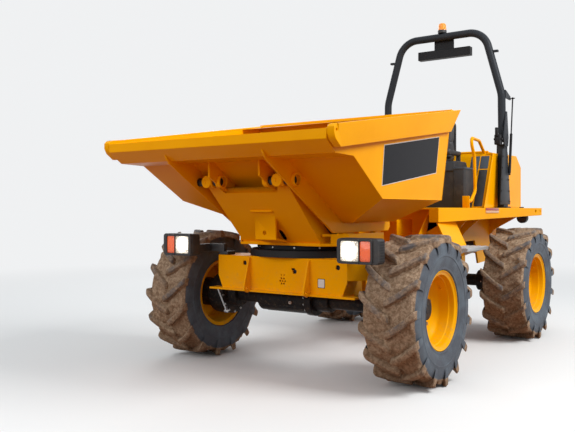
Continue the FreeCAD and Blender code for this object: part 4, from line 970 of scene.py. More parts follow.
@dataclass
class Wheel(Assembly):
    """One wheel: a muddy chevron tyre on a deep flanged rim."""

    corner: str = "front_left"
    side: int = 1
    behind: float = 0.0
    track: float = 1.965
    height: float = 0.525
    tyre_radius: float = 0.5245
    tread: float = 0.478
    bars: int = 15
    bar_width: float = 0.05
    bar_lap: float = 0.012
    bar_turn: float = 0.078
    tyre_half: float = 0.2025
    start_turn: float = math.atan2(0.103, 0.5148)

    @property
    def where(self) -> Matrix:
        """The wheel's place, mirrored on the right-hand side."""
        centre = Vector((self.side * self.track / 2, along(self.behind), self.height))
        return Matrix.Translation(centre) @ Matrix.Diagonal((self.side, 1, 1, 1))

    def build(self) -> None:
        """Makes the tyre and the rim with its nuts and valve."""
        self.shaped("tyre_" + self.corner + "_finished", self.tyre, TYRE_RUBBER, ("tyre_" + self.corner,), smooth=50)
        self.shaped("rim_" + self.corner + "_finished", self.rim, RIM_YELLOW, ("rim_" + self.corner,), smooth=28)
        self.shaped("hub_" + self.corner, self.hub, BLACK, smooth=28)
        disc_x = self.side * (self.track / 2 + 0.0105)
        spots = [{"Columns": 10, "Span": 0.138, "Size": (0.0135, 0.017, 0.02),
                  "Place": (disc_x, along(self.behind), self.height), "Turn": TURN_TO_LEFT[self.side]}]
        self.repeated("wheel_nuts_" + self.corner, Layout.RING, Item.HEX_BOLT, PIN_STEEL, spots)

    def wall(self) -> list[tuple[float, float]]:
        """The outer wall's (x, radius) points, from the bead to the tread."""
        return [(0.1585, 0.256), (0.1635, 0.27), (0.1662, 0.2795), (0.1795, 0.2815), (0.1835, 0.285), (0.1845, 0.2905),
                (0.1822, 0.2945), (0.184, 0.306), (0.1895, 0.325), (0.1945, 0.35), (0.1962, 0.372), (0.1985, 0.3735),
                (0.1992, 0.379), (0.1972, 0.3835), (0.1968, 0.398), (0.1955, 0.42), (0.1925, 0.442), (0.187, 0.46),
                (0.1795, 0.472)]

    def tyre(self, target: bmesh.types.BMesh) -> None:
        """Adds the carcass, caked unevenly between its bars, and the bars themselves."""
        seed = Vector((3.1 * self.behind, 7.7 * self.side, 0))
        across = [(-1 + 2 * k / 26) * 0.1715 for k in range(27)]
        crown = [(-x, self.tread + 0.0015 * (1 - (x / 0.18) ** 2)) for x in across]
        outer = self.wall()
        profile = outer + crown + [(-x, r) for x, r in reversed(outer)]
        start = len(target.verts)
        Stock.lathe(target, profile, 240, Matrix.Identity(4), closed=True)
        target.verts.ensure_lookup_table()
        for vert in target.verts[start:]:
            self.cake(vert, seed)
        for side in SIDES:
            for number in range(self.bars):
                turn = 2 * math.pi * (number + (0.5 if side < 0 else 0.0)) / self.bars
                self.bar(target, side, turn, seed)
        level = Matrix.Rotation(self.start_turn, 4, "X")
        bmesh.ops.transform(target, matrix=self.where @ level, verts=target.verts)

    def cake(self, vert: bmesh.types.BMVert, seed: Vector) -> None:
        """Moves a point of the tread outwards where mud has packed in."""
        radius = math.hypot(vert.co.y, vert.co.z)
        if radius < 0.468:
            return
        lump = noise.fractal(vert.co * 9 + seed, 0.8, 2.0, 5)
        grit = noise.noise(vert.co * 70 + seed)
        share = min(1.0, (radius - 0.468) / 0.01)
        grown = radius + share * (max(0.0, 0.006 + 0.022 * lump) + 0.0012 * grit)
        vert.co.y *= grown / radius
        vert.co.z *= grown / radius

    def bar(self, target: bmesh.types.BMesh, side: int, turn: float, seed: Vector) -> None:
        """Adds one curved tread bar, from just past the middle to down over the shoulder.

        Args:
            target: the mesh to add to.
            side: the half of the tread that it is on.
            turn: its place round the tyre.
            seed: shifts the wear of this wheel's bars.
        """
        half = self.bar_width / 2
        section = [(-half - 0.007, 0.470), (-half - 0.0035, 0.492), (-half, 0.512), (-half + 0.0045, 0.5215),
                   (-half * 0.35, self.tyre_radius), (half * 0.35, self.tyre_radius), (half - 0.0045, 0.5215),
                   (half, 0.512), (half + 0.0035, 0.492), (half + 0.007, 0.470)]
        stations = [(-0.016, 0.6), (-0.0125, 0.9)] + [(-0.008 + 0.2 * k / 13, 1.0) for k in range(14)]
        rows = []
        for x, size in stations + [(0.1985, 1.0), (0.2022, 1.0), (0.2024, 1.0), (0.2015, 1.0), (0.1975, 1.0)]:
            drop = {0.1985: 0.005, 0.2022: 0.022, 0.2024: 0.04, 0.2015: 0.062, 0.1975: 0.085}.get(x, 0.0)
            share = (x + self.bar_lap) / (self.tyre_half + self.bar_lap)
            middle = self.bar_turn * (1 - 2 * share) + 0.011 * math.sin(math.pi * share)
            row = []
            for offset, radius in section:
                narrowed = offset * size * (1 - 2.2 * drop)
                risen = radius - drop if radius > 0.48 else min(radius, 0.474 - drop * 0.9)
                risen -= (1 - size) * 0.04 * (radius > 0.48)
                angle = turn + (middle + narrowed) / 0.5
                row.append(Vector((side * x, risen * math.sin(angle), -risen * math.cos(angle))))
            rows.append(row)
        placed = []
        for row in rows:
            placed.append([target.verts.new(self.worn(point, seed)) for point in row])
        for row, following in zip(placed, placed[1:]):
            for k in range(len(section) - 1):
                target.faces.new((row[k], row[k + 1], following[k + 1], following[k]))
            target.faces.new((row[-1], row[0], following[0], following[-1]))
        target.faces.new(placed[0])
        target.faces.new(list(reversed(placed[-1])))

    def worn(self, point: Vector, seed: Vector) -> Vector:
        """Returns a bar's point, moved a little by wear and grit."""
        push = 0.0022 * noise.noise(point * 24 + seed) + 0.0012 * noise.noise(point * 90 + seed)
        radial = Vector((0, point.y, point.z)).normalized()
        return point + radial * (push - 0.0018)

    def rim(self, target: bmesh.types.BMesh) -> None:
        """Adds the rim and its disc."""
        profile = [(-0.1775, 0.2742), (-0.1758, 0.2775), (-0.1715, 0.2775), (-0.1652, 0.2745), (-0.165, 0.2545),
                   (0.165, 0.2545), (0.1652, 0.2735), (0.1685, 0.2772), (0.1738, 0.2775), (0.1772, 0.2755),
                   (0.1775, 0.2725), (0.1752, 0.2695), (0.170, 0.2655), (0.1625, 0.2485), (0.156, 0.246),
                   (0.136, 0.2452), (0.128, 0.2425), (0.124, 0.2362), (0.116, 0.2345), (0.066, 0.234),
                   (0.054, 0.2315), (0.046, 0.225), (0.030, 0.207), (0.0165, 0.188), (0.0108, 0.172),
                   (0.0105, 0.0885), (-0.004, 0.0885), (-0.004, 0.17), (0.0, 0.185), (0.03, 0.2385),
                   (-0.1, 0.2405), (-0.168, 0.2485)]
        Stock.lathe(target, profile, 96, self.where, closed=True)
        place = self.where @ Vector((0.075, 0.228 * math.sin(0.9), 0.228 * math.cos(0.9)))
        inward = self.where @ Vector((0.102, 0.205 * math.sin(0.9), 0.205 * math.cos(0.9)))
        Stock.bar(target, place, inward, 0.0045, 0.001, 12)

    def hub(self, target: bmesh.types.BMesh) -> None:
        """Adds the final-drive hub, its cap and the flange that the disc is bolted to."""
        profile = [(0.0745, 0), (0.0745, 0.03), (0.071, 0.034), (0.071, 0.06), (0.066, 0.0745), (0.045, 0.0765),
                   (0.0112, 0.087), (0.0112, 0.104), (0.0106, 0.106), (-0.0042, 0.118), (-0.1535, 0.118),
                   (-0.1535, 0.061), (-0.02, 0.061), (-0.02, 0)]
        Stock.lathe(target, profile, 64, self.where)


@dataclass
class FrontEnd(Assembly):
    """The front frame with its slew ring, axle and headlamps."""

    ring_behind: float = 0.12
    ring_radius: float = 0.42
    ring_low: float = 0.865
    ring_high: float = 0.9547

    beam_front: float = -0.31
    cluster: tuple[float, float] = (0.034, 0.69)
    lamp_x: tuple[float, float] = (0.65, 0.955)
    lamp_behind: tuple[float, float] = (-0.56, -0.455)
    lamp_z: tuple[float, float] = (0.862, 1.033)
    lens_x: tuple[float, float] = (0.677, 0.815)
    indicator_x: tuple[float, float] = (0.823, 0.903)

    def build(self) -> None:
        """Makes every piece on the front chassis."""
        self.dressed("front_frame", YELLOW, 0.0028, cuts=self.beam_cuts)
        self.shaped("slew_ring_finished", self.ring, BLACK, ("slew_ring",), smooth=25)
        self.shaped("slew_ring_guard", self.ring_guard, BLACK, smooth=30)
        self.shaped("slew_ring_bolts", self.ring_bolts, PIN_STEEL, smooth=30)
        self.shaped("beam_plate_border", lambda target: self.beam_plate(target, 0.0, 0.0012), SIGN_BLACK)
        self.shaped("beam_plate", lambda target: self.beam_plate(target, 0.004, 0.0018), SIGN_WHITE)
        self.shaped("beam_welds", self.welds, YELLOW, smooth=60)
        self.shaped("beam_plug", self.plug, YELLOW, smooth=30)
        # Dark plates behind the beam's holes: painted shade for the holes' insides.
        self.shaped("beam_backing", self.hole_shade_plates, BLACK)
        self.shaped("brake_rod", self.brake_rod, GALVANISED, smooth=30)
        self.shaped("headlamps_finished", self.housings, BLACK_PLASTIC, ("headlamps",), smooth=30)
        self.shaped("headlamp_lenses_finished", lambda target: self.lenses(target, self.lens_x), CLEAR_LENS,
                    ("headlamp_lenses",), smooth=40)
        self.shaped("indicator_lenses_finished", lambda target: self.lenses(target, self.indicator_x), ORANGE_LENS,
                    ("indicator_lenses",), smooth=40)
        self.grips()

    def beam_cuts(self, tool: bmesh.types.BMesh) -> None:
        """Adds what is cut from the beam: its holes, the hole cluster and the hook-shaped slot."""
        near, far = along(self.beam_front - 0.03), along(self.beam_front + 0.03)
        holes = [(-0.323, 0.811, 0.0175), (0.51, 0.811, 0.0175)]
        x, z = self.cluster
        holes += [(x, z, 0.0068), (x - 0.012, z + 0.046, 0.005), (x + 0.014, z + 0.046, 0.005)]
        holes += [(x + 0.022 * math.cos(k * math.pi / 3), z + 0.022 * math.sin(k * math.pi / 3), 0.0068)
                  for k in range(6)]
        for x, z, radius in holes:
            Stock.peg(tool, (x, near, z), (x, far, z), radius)
        hook = [(0.142 + 0.0165 * math.cos(k * math.pi / 9), 0.766 + 0.0165 * math.sin(k * math.pi / 9))
                for k in range(8, 23)]
        Stock.plate(tool, Plane.CROSS.point, [(0.142, 0.79), (0.112, 0.79), (0.112, 0.776), *hook],
                    self.beam_front - 0.03, self.beam_front + 0.03)

    def beam_plate(self, target: bmesh.types.BMesh, margin: float, proud: float) -> None:
        """Adds the small blank plate on the beam, or its border, inside a margin."""
        outline = rounded((0.343 + margin, 0.659 + margin), (0.404 - margin, 0.726 - margin), 0.004, 3)
        Stock.plate(target, Plane.CROSS.point, outline, self.beam_front + 0.001, self.beam_front - proud)

    def hole_shade_plates(self, target: bmesh.types.BMesh) -> None:
        """Adds the dark plates behind the beam's small holes: painted shade, so the holes read dark inside."""
        for x, z, half in ((self.cluster[0], self.cluster[1] + 0.012, 0.05), (0.142, 0.77, 0.035),
                           (-0.323, 0.811, 0.028), (0.51, 0.811, 0.028)):
            Stock.plate(target, Plane.CROSS.point, rounded((x - half, z - half), (x + half, z + half), 0.01, 3),
                        self.beam_front + 0.0165, self.beam_front + 0.02)

    def plug(self, target: bmesh.types.BMesh) -> None:
        """Adds the plug in the beam's right-hand hole."""
        Stock.bar(target, (-0.51, along(self.beam_front - 0.0012), 0.811), (-0.51, along(self.beam_front + 0.012), 0.811),
                  0.0135, 0.001, 28)

    def welds(self, target: bmesh.types.BMesh) -> None:
        """Adds the weld beads round the tow gussets and along the flange."""
        front = along(self.beam_front)
        for side in SIDES:
            for x in (side * 0.262, side * 0.277):
                Stock.weld(target, (x, front, 0.62), (x, front, 0.852))
        Stock.weld(target, (-0.54, front, 0.611), (0.54, front, 0.611))

    def brake_rod(self, target: bmesh.types.BMesh) -> None:
        """Adds the thin rod that hangs from the flange beside the right-hand brake, with its arm."""
        top, foot = (-0.631, along(-0.27), 0.598), (-0.631, along(-0.16), 0.4)
        Stock.bar(target, top, foot, 0.0065, 0.001, 16)
        Stock.bar(target, foot, (-0.69, along(-0.09), 0.44), 0.009, 0.002, 16)
        Stock.bar(target, (-0.645, foot[1], 0.4), (-0.617, foot[1], 0.4), 0.014, 0.003, 20)

    def ring(self, target: bmesh.types.BMesh) -> None:
        """Adds the slew ring: two flanges round a waist with its seal."""
        where = Matrix.Translation((0, along(self.ring_behind), 0)) @ Matrix.Rotation(-math.pi / 2, 4, "Y")
        low, high, r = self.ring_low, self.ring_high, self.ring_radius
        profile = [(low, r - 0.078), (low, r - 0.002), (low + 0.002, r), (low + 0.032, r), (low + 0.034, r - 0.002),
                   (low + 0.034, r - 0.014), (low + 0.041, r - 0.015), (low + 0.043, r - 0.012),
                   (low + 0.047, r - 0.012), (low + 0.049, r - 0.015), (high - 0.034, r - 0.014),
                   (high - 0.034, r - 0.005), (high - 0.032, r - 0.003), (high - 0.002, r - 0.003),
                   (high, r - 0.005), (high, r - 0.078)]
        Stock.lathe(target, profile, 128, where, closed=True)

    def ring_guard(self, target: bmesh.types.BMesh) -> None:
        """Adds the dark guard round the ring's lower flange."""
        where = Matrix.Translation((0, along(self.ring_behind), 0)) @ Matrix.Rotation(-math.pi / 2, 4, "Y")
        low, r = self.ring_low, self.ring_radius
        profile = [(low + 0.0005, r - 0.004), (low + 0.0005, r + 0.052), (low + 0.003, r + 0.056), (low + 0.05, r + 0.05),
                   (low + 0.053, r + 0.046), (low + 0.053, r + 0.04), (low + 0.006, r + 0.03), (low + 0.006, r - 0.004)]
        Stock.lathe(target, profile, 96, where, closed=True)

    def ring_bolts(self, target: bmesh.types.BMesh) -> None:
        """Adds the radial bolts in both flanges of the ring."""
        for height, radius in ((self.ring_low + 0.017, self.ring_radius), (self.ring_high - 0.017, self.ring_radius - 0.003)):
            for number in range(14):
                turn = 2 * math.pi * (number + 0.35) / 14
                way = Vector((math.sin(turn), math.cos(turn), 0))
                centre = Vector((0, along(self.ring_behind), height))
                Stock.bar(target, centre + way * (radius - 0.004), centre + way * (radius + 0.006), 0.0075, 0.0015, 12)

    def housings(self, target: bmesh.types.BMesh) -> None:
        """Adds the rounded lamp boxes with their bezels, and the brackets that hold them."""
        (x0, x1), (near, far), (z0, z1) = self.lamp_x, self.lamp_behind, self.lamp_z
        for side in SIDES:
            span = sorted((side * x0, side * x1))
            Stock.plate(target, Plane.CROSS.point, rounded((span[0], z0), (span[1], z1), 0.024), near + 0.012, far, 0.006, 3)
            split = (self.lens_x[1] + self.indicator_x[0]) / 2
            for (a, b), (c, d) in (((x0 + 0.003, split), self.lens_x), ((split, self.indicator_x[1] + 0.012), self.indicator_x)):
                outer, inner = sorted((side * a, side * b)), sorted((side * c, side * d))
                Stock.frame(target, Plane.CROSS.point, rounded((outer[0], z0 + 0.003), (outer[1], z1 - 0.003), 0.02),
                            rounded((inner[0], z0 + 0.018), (inner[1], z1 - 0.018), 0.012), near + 0.014, near, 0.002)
            arm = sorted((side * (x0 + 0.025), side * (x0 + 0.065)))
            Stock.block(target, (arm[0], along(far - 0.005), 0.89), (arm[1], along(self.beam_front + 0.05), 0.95), 0.004)
            bar = sorted((side * 0.54, side * (x0 + 0.065)))
            Stock.block(target, (bar[0], along(self.beam_front + 0.012), 0.89), (bar[1], along(self.beam_front + 0.05), 0.95),
                        0.004)
            foot = sorted((side * 0.505, side * 0.59))
            Stock.block(target, (foot[0], along(self.beam_front + 0.012), 0.8653),
                        (foot[1], along(self.beam_front + 0.11), 0.892), 0.004)

    def lenses(self, target: bmesh.types.BMesh, span: tuple[float, float]) -> None:
        """Adds the two lenses that fill one opening of the lamps."""
        for side in SIDES:
            a, b = sorted((side * (span[0] + 0.001), side * (span[1] - 0.001)))
            outline = rounded((a, self.lamp_z[0] + 0.019), (b, self.lamp_z[1] - 0.019), 0.011)
            Stock.plate(target, Plane.CROSS.point, outline, self.lamp_behind[0] + 0.002, self.lamp_behind[0] + 0.0125, 0.0025)

    def grips(self) -> None:
        """Sets out the small ribs on the lamps' outer sides and the cooling fins on their backs."""
        near, far = self.lamp_behind
        z = (self.lamp_z[0] + self.lamp_z[1]) / 2
        depth = (self.lamp_z[1] - self.lamp_z[0]) * 0.72
        spots = [{"Columns": 5, "Rows": 8, "Span": 0.066, "Depth": depth, "Size": (0.009, 0.011, 0.005),
                  "Place": (side * self.lamp_x[1], along((near + far) / 2 + 0.006), z),
                  "Turn": (math.pi / 2, 0.0, side * math.pi / 2)} for side in SIDES]
        self.repeated("lamp_side_grips", Layout.GRID, Item.BAR, BLACK_PLASTIC, spots)
        middle = (self.lamp_x[0] + self.lamp_x[1]) / 2
        spots = [{"Columns": 14, "Rows": 1, "Span": 0.26, "Size": (0.005, 0.12, 0.012),
                  "Place": (side * middle, along(far + 0.003), z), "Turn": (math.pi / 2, 0.0, 0.0)} for side in SIDES]
        self.repeated("lamp_cooling_fins", Layout.GRID, Item.BAR, BLACK_PLASTIC, spots)


@dataclass
class Axle(Assembly):
    """A drive axle in finely turned form."""

    node: str = "front_axle"
    behind: float = 0.0
    housing: tuple[float, float] = (-0.36, 0.09)
    height: float = 0.525
    brake_end: float = 0.823

    def build(self) -> None:
        """Makes the axle and the bolts of its housing."""
        self.shaped(self.node + "_finished", self.turned_form, BLACK, (self.node,), smooth=30)
        self.shaped(self.node + "_plug", self.plug, SIGN_WHITE, smooth=30)
        low, high = self.housing
        place = (0.0, along(self.behind), self.height)
        spots = [{"Columns": 14, "Span": 0.113, "Size": (0.007, 0.0085, 0.007), "Place": (high, *place[1:]),
                  "Turn": TURN_TO_LEFT[-1]}]
        spots += [{"Columns": 12, "Span": 0.15, "Size": (0.008, 0.01, 0.008),
                   "Place": (side * (self.brake_end - 0.15), *place[1:]), "Turn": TURN_TO_LEFT[-side]}
                  for side in SIDES]
        self.repeated(self.node + "_bolts", Layout.RING, Item.HEX_BOLT, PIN_STEEL, spots)

    def turned_form(self, target: bmesh.types.BMesh) -> None:
        """Adds the axle's round forms from one end to the other."""
        low, high = self.housing
        end, spindle = self.brake_end, 0.939
        steps = [(-spindle, 0.059), (-end, 0.163), (-(end - 0.15), 0.099), (-(end - 0.23), 0.0575),
                 (low, 0.106), (high, 0.12), (high + 0.06, 0.083), (high + 0.19, 0.0575),
                 (end - 0.23, 0.099), (end - 0.15, 0.163), (end, 0.059)]
        profile = [(-spindle, 0.0)]
        for (x, radius), (ahead, _) in zip(steps, steps[1:] + [(spindle, 0)]):
            profile += [(x, radius - 0.004), (x + 0.004, radius), (ahead - 0.004, radius), (ahead, radius - 0.004)]
        profile.append((spindle, 0.0))
        where = Matrix.Translation((0, along(self.behind), self.height))
        Stock.lathe(target, profile, 64, where)
        for k in range(6):
            angle = math.pi * k / 3
            x0, x1 = low + 0.03, high - 0.04
            y, z = 0.104 * math.sin(angle), 0.104 * math.cos(angle)
            Stock.block(target, (x0, along(self.behind) + y - 0.006, self.height + z - 0.006),
                        (x1, along(self.behind) + y + 0.006, self.height + z + 0.006), 0.003)

    def plug(self, target: bmesh.types.BMesh) -> None:
        """Adds the bright filler plug on the housing's face."""
        middle = along(self.behind)
        Stock.bar(target, (-0.035, middle - 0.1, self.height - 0.02), (-0.035, middle - 0.121, self.height - 0.02), 0.012,
                  0.002, 20)
        Stock.bar(target, (-0.035, middle - 0.119, self.height - 0.02), (-0.035, middle - 0.127, self.height - 0.02),
                  0.006, 0.001, 8)


@dataclass
class SkipLooks(Assembly):
    """The skip: folded and welded plate, with its weld beads, bushes and one blank sign on each side."""

    knee: tuple[float, float] = (0.9, 1.295)
    top: tuple[float, float] = (0.935, 1.82)
    tip: tuple[float, float] = (-0.725, 1.418)
    bush_x: tuple[float, ...] = (0.187, 0.212, 0.425, 0.45)
    bush_radii: tuple[float, float] = (0.037, 0.048)
    rib_x: tuple[float, float] = (0.41, 0.425)

    def build(self) -> None:
        """Dresses the skip's solids and adds its small parts."""
        self.dressed("skip_tub", YELLOW, 0.003, 28.0)
        self.dressed("skip_rim", YELLOW, 0.0035, 32.0)
        self.dressed("skip_ribs", YELLOW, 0.002, 42.0)
        self.shaped("sign_border", lambda target: self.sign(target, 0.0, 0.0016), SIGN_WHITE)
        self.shaped("sign_panel", lambda target: self.sign(target, 0.005, 0.0024), SIGN_BLACK)
        self.shaped("skip_welds", self.welds, YELLOW, smooth=60)
        self.shaped("skip_bushes", self.bushes, YELLOW, smooth=30)

    def wall_x(self, height: float) -> float:
        """Returns how far out the side wall is at a height."""
        share = (height - self.knee[1]) / (self.top[1] - self.knee[1])
        return self.knee[0] + share * (self.top[0] - self.knee[0])

    def sign(self, target: bmesh.types.BMesh, margin: float, proud: float) -> None:
        """Adds the blank sign on each side wall, or its border, inside a margin."""
        corners = [(-0.407 + margin, 1.649 - margin), (0.483 - margin, 1.775 - margin), (0.464 - margin, 1.496 + margin),
                   (-0.407 + margin, 1.376 + margin)]
        for side in SIDES:
            Stock.plate(target, lambda a, b, depth: Vector((side * (self.wall_x(b) + depth), along(a), b)), corners,
                        -0.001, proud)

    def welds(self, target: bmesh.types.BMesh) -> None:
        """Adds the beads where the ribs meet the floor and where the walls meet."""
        floor = [(-1.02, 1.556), (-0.8, 1.55), (-0.39, 1.295), (-0.09, 1.125), (0.58, 1.125)]
        for side in SIDES:
            for x in self.rib_x:
                for (a, b), (c, d) in zip(floor, floor[1:]):
                    Stock.weld(target, (side * x, along(a), b), (side * x, along(c), d))
            Stock.weld(target, (side * 0.9, along(-0.385), 1.294), (side * 0.9, along(0.6), 1.294), 0.003)
            Stock.weld(target, (side * 0.899, along(0.604), 1.296), (side * 0.934, along(0.664), 1.818), 0.003)
            Stock.weld(target, (side * 0.5, along(-0.09), 1.125), (side * 0.9, along(-0.385), 1.294), 0.003)

    def bushes(self, target: bmesh.types.BMesh) -> None:
        """Adds the bushes that the tipping pins run in, proud of the ribs' faces."""
        hole, radius = self.bush_radii
        d, z = self.tip
        for side in SIDES:
            for a, b in ((self.bush_x[0], self.bush_x[1] + 0.001), (self.bush_x[2] - 0.001, self.bush_x[3])):
                low, high = sorted((side * a, side * b))
                length = high - low
                Stock.turned(target, (low, along(d), z), (high, along(d), z),
                             [(0, hole), (0, radius - 0.003), (0.003, radius), (length - 0.003, radius),
                              (length, radius - 0.003), (length, hole), (0, hole)], 40)


@dataclass
class SwivelLooks(Assembly):
    """The swivel frame with its round bosses and pins."""

    tip_behind: float = -0.725
    tip_height: float = 1.418
    boss_radius: float = 0.0443
    pin_radius: float = 0.0297
    pin_ends: tuple[float, float] = (0.212, 0.425)
    inner: float = 0.266
    outer: float = 0.354

    def build(self) -> None:
        """Dresses the frame and makes the bosses and the pins round."""
        self.dressed("swivel_frame", YELLOW, 0.0028, cuts=self.pad_hole)
        self.shaped("tip_bosses", self.bosses, YELLOW, smooth=30)
        self.shaped("horn_caps", self.caps, YELLOW, smooth=30)
        self.shaped("swivel_side_plates", self.aprons, YELLOW)
        self.shaped("swivel_welds", self.welds, YELLOW, smooth=60)
        # The pins' dark finish is partly painted shade for their ends deep inside the bushes.
        self.shaped("tip_pins_finished", self.pins, GREASED_AND_SHADED, ("tip_pins",), smooth=30)

    def pad_hole(self, tool: bmesh.types.BMesh) -> None:
        """Adds what cuts the hole in the bent pad."""
        Stock.peg(tool, (-0.007, along(-0.52), 1.052), (-0.007, along(-0.45), 1.052), 0.0155)

    def caps(self, target: bmesh.types.BMesh) -> None:
        """Adds the round cap on each horn, with the grease hole in its face."""
        for side in SIDES:
            x = side * (self.inner + self.outer) / 2
            front = self.tip_behind - self.boss_radius - 0.003
            Stock.turned(target, (x, along(front), self.tip_height), (x, along(front + 0.05), self.tip_height),
                         [(0.014, 0), (0.014, 0.0095), (0.001, 0.0105), (0, 0.012), (0, 0.0405), (0.003, 0.0435),
                          (0.05, 0.0435), (0.05, 0)], 40)

    def aprons(self, target: bmesh.types.BMesh) -> None:
        """Adds the folded plate that stands along each side of the base, open at its front corner."""
        low, top = 0.974, 1.043
        for side in SIDES:
            outline = [(side * 0.414, -0.244), (side * 0.5, -0.14), (side * 0.5, 0.41), (side * 0.488, 0.41),
                       (side * 0.488, -0.134), (side * 0.405, -0.235)]
            Stock.plate(target, Plane.LEVEL.point, outline, low, top, 0.0015)
            outline = [(side * 0.372, -0.294), (side * 0.414, -0.244), (side * 0.405, -0.235), (side * 0.36, -0.284)]
            Stock.plate(target, Plane.LEVEL.point, outline, top - 0.016, top, 0.0015)

    def welds(self, target: bmesh.types.BMesh) -> None:
        """Adds the bead along the foot of the leaning front."""
        Stock.weld(target, (-0.35, along(-0.287), 0.976), (0.35, along(-0.287), 0.976))

    def bosses(self, target: bmesh.types.BMesh) -> None:
        """Adds a turned boss round each pin."""
        for side in SIDES:
            ends = sorted((side * (self.inner - 0.001), side * (self.outer + 0.001)))
            where = [(x, along(self.tip_behind), self.tip_height) for x in ends]
            length = ends[1] - ends[0]
            r = self.boss_radius
            hole = self.pin_radius + 0.0006
            Stock.turned(target, *where, [(0, hole), (0, r - 0.003), (0.003, r), (length - 0.003, r),
                                          (length, r - 0.003), (length, hole), (0, hole)], 48)

    def pins(self, target: bmesh.types.BMesh) -> None:
        """Adds the two tipping pins."""
        for side in SIDES:
            ends = sorted((side * self.pin_ends[0], side * self.pin_ends[1]))
            where = [(x, along(self.tip_behind), self.tip_height) for x in ends]
            Stock.bar(target, *where, self.pin_radius, 0.002, 40)


@dataclass
class Ram(Assembly):
    """A hydraulic ram or gas strut, turned finely: barrel with gland, rod with its eye."""

    name: str = "tip_ram"
    rod_body: str = "tip_rod"
    base: Point = (0.0, 0.0, 0.0)
    head: Point = (0.0, 0.0, 0.0)
    across: Point = (1.0, 0.0, 0.0)
    barrel: float = 0.048
    rod: float = 0.028
    eye: float = 0.034
    pin: float = 0.014
    width: float = 0.07
    pin_half: float = 0.0457
    share: float = 0.87
    finish: Finish = BLACK
    rod_finish: Finish = CHROME

    def build(self) -> None:
        """Makes the barrel and the rod."""
        self.shaped(self.name + "_barrel_finished", self.make_barrel, self.finish, (self.name + "_barrel",), smooth=30)
        self.shaped(self.name + "_rod_finished", self.make_rod, self.rod_finish, (self.name + "_rod",), self.rod_body,
                    30)

    def line(self) -> tuple[Vector, Vector, float]:
        """Returns the ram's foot, its direction and its length."""
        foot, top = Vector(self.base), Vector(self.head)
        return foot, (top - foot).normalized(), (top - foot).length

    def make_barrel(self, target: bmesh.types.BMesh) -> None:
        """Adds the barrel's tube, gland and eye."""
        foot, run, length = self.line()
        start, end, r = self.eye * 0.9, length * self.share, self.barrel
        profile = [(0, 0), (0, r * 0.7), (r * 0.12, r * 0.985), (r * 0.2, r * 0.985), (end - start - r * 1.1, r * 0.985),
                   (end - start - r * 1.05, r * 0.93), (end - start - r * 0.95, r), (end - start - r * 0.1, r),
                   (end - start, r * 0.9), (end - start, self.rod + 0.0012), (r * 0.4, self.rod + 0.0012),
                   (r * 0.4, 0)]
        Stock.turned(target, foot + run * start, foot + run * end, profile, 48)
        side = Vector(self.across)
        r_hole = self.pin + 0.001
        w = self.width
        ring = [(0, r_hole), (0, self.eye - 0.002), (0.002, self.eye), (w - 0.002, self.eye), (w, self.eye - 0.002),
                (w, r_hole), (0, r_hole)]
        Stock.turned(target, foot - side * (w / 2), foot + side * (w / 2), ring, 40)

    def make_rod(self, target: bmesh.types.BMesh) -> None:
        """Adds the chromed rod, its eye and its pin."""
        foot, run, length = self.line()
        top = Vector(self.head)
        side = Vector(self.across)
        inside = foot + run * (length * self.share - self.barrel * 0.25)
        Stock.bar(target, inside, top, self.rod * 0.995, 0.001, 40)
        Stock.bar(target, top - side * (self.width / 2), top + side * (self.width / 2), self.eye * 0.995, 0.002, 40)
        Stock.bar(target, top - side * self.pin_half, top + side * self.pin_half, self.pin, 0.001, 32)


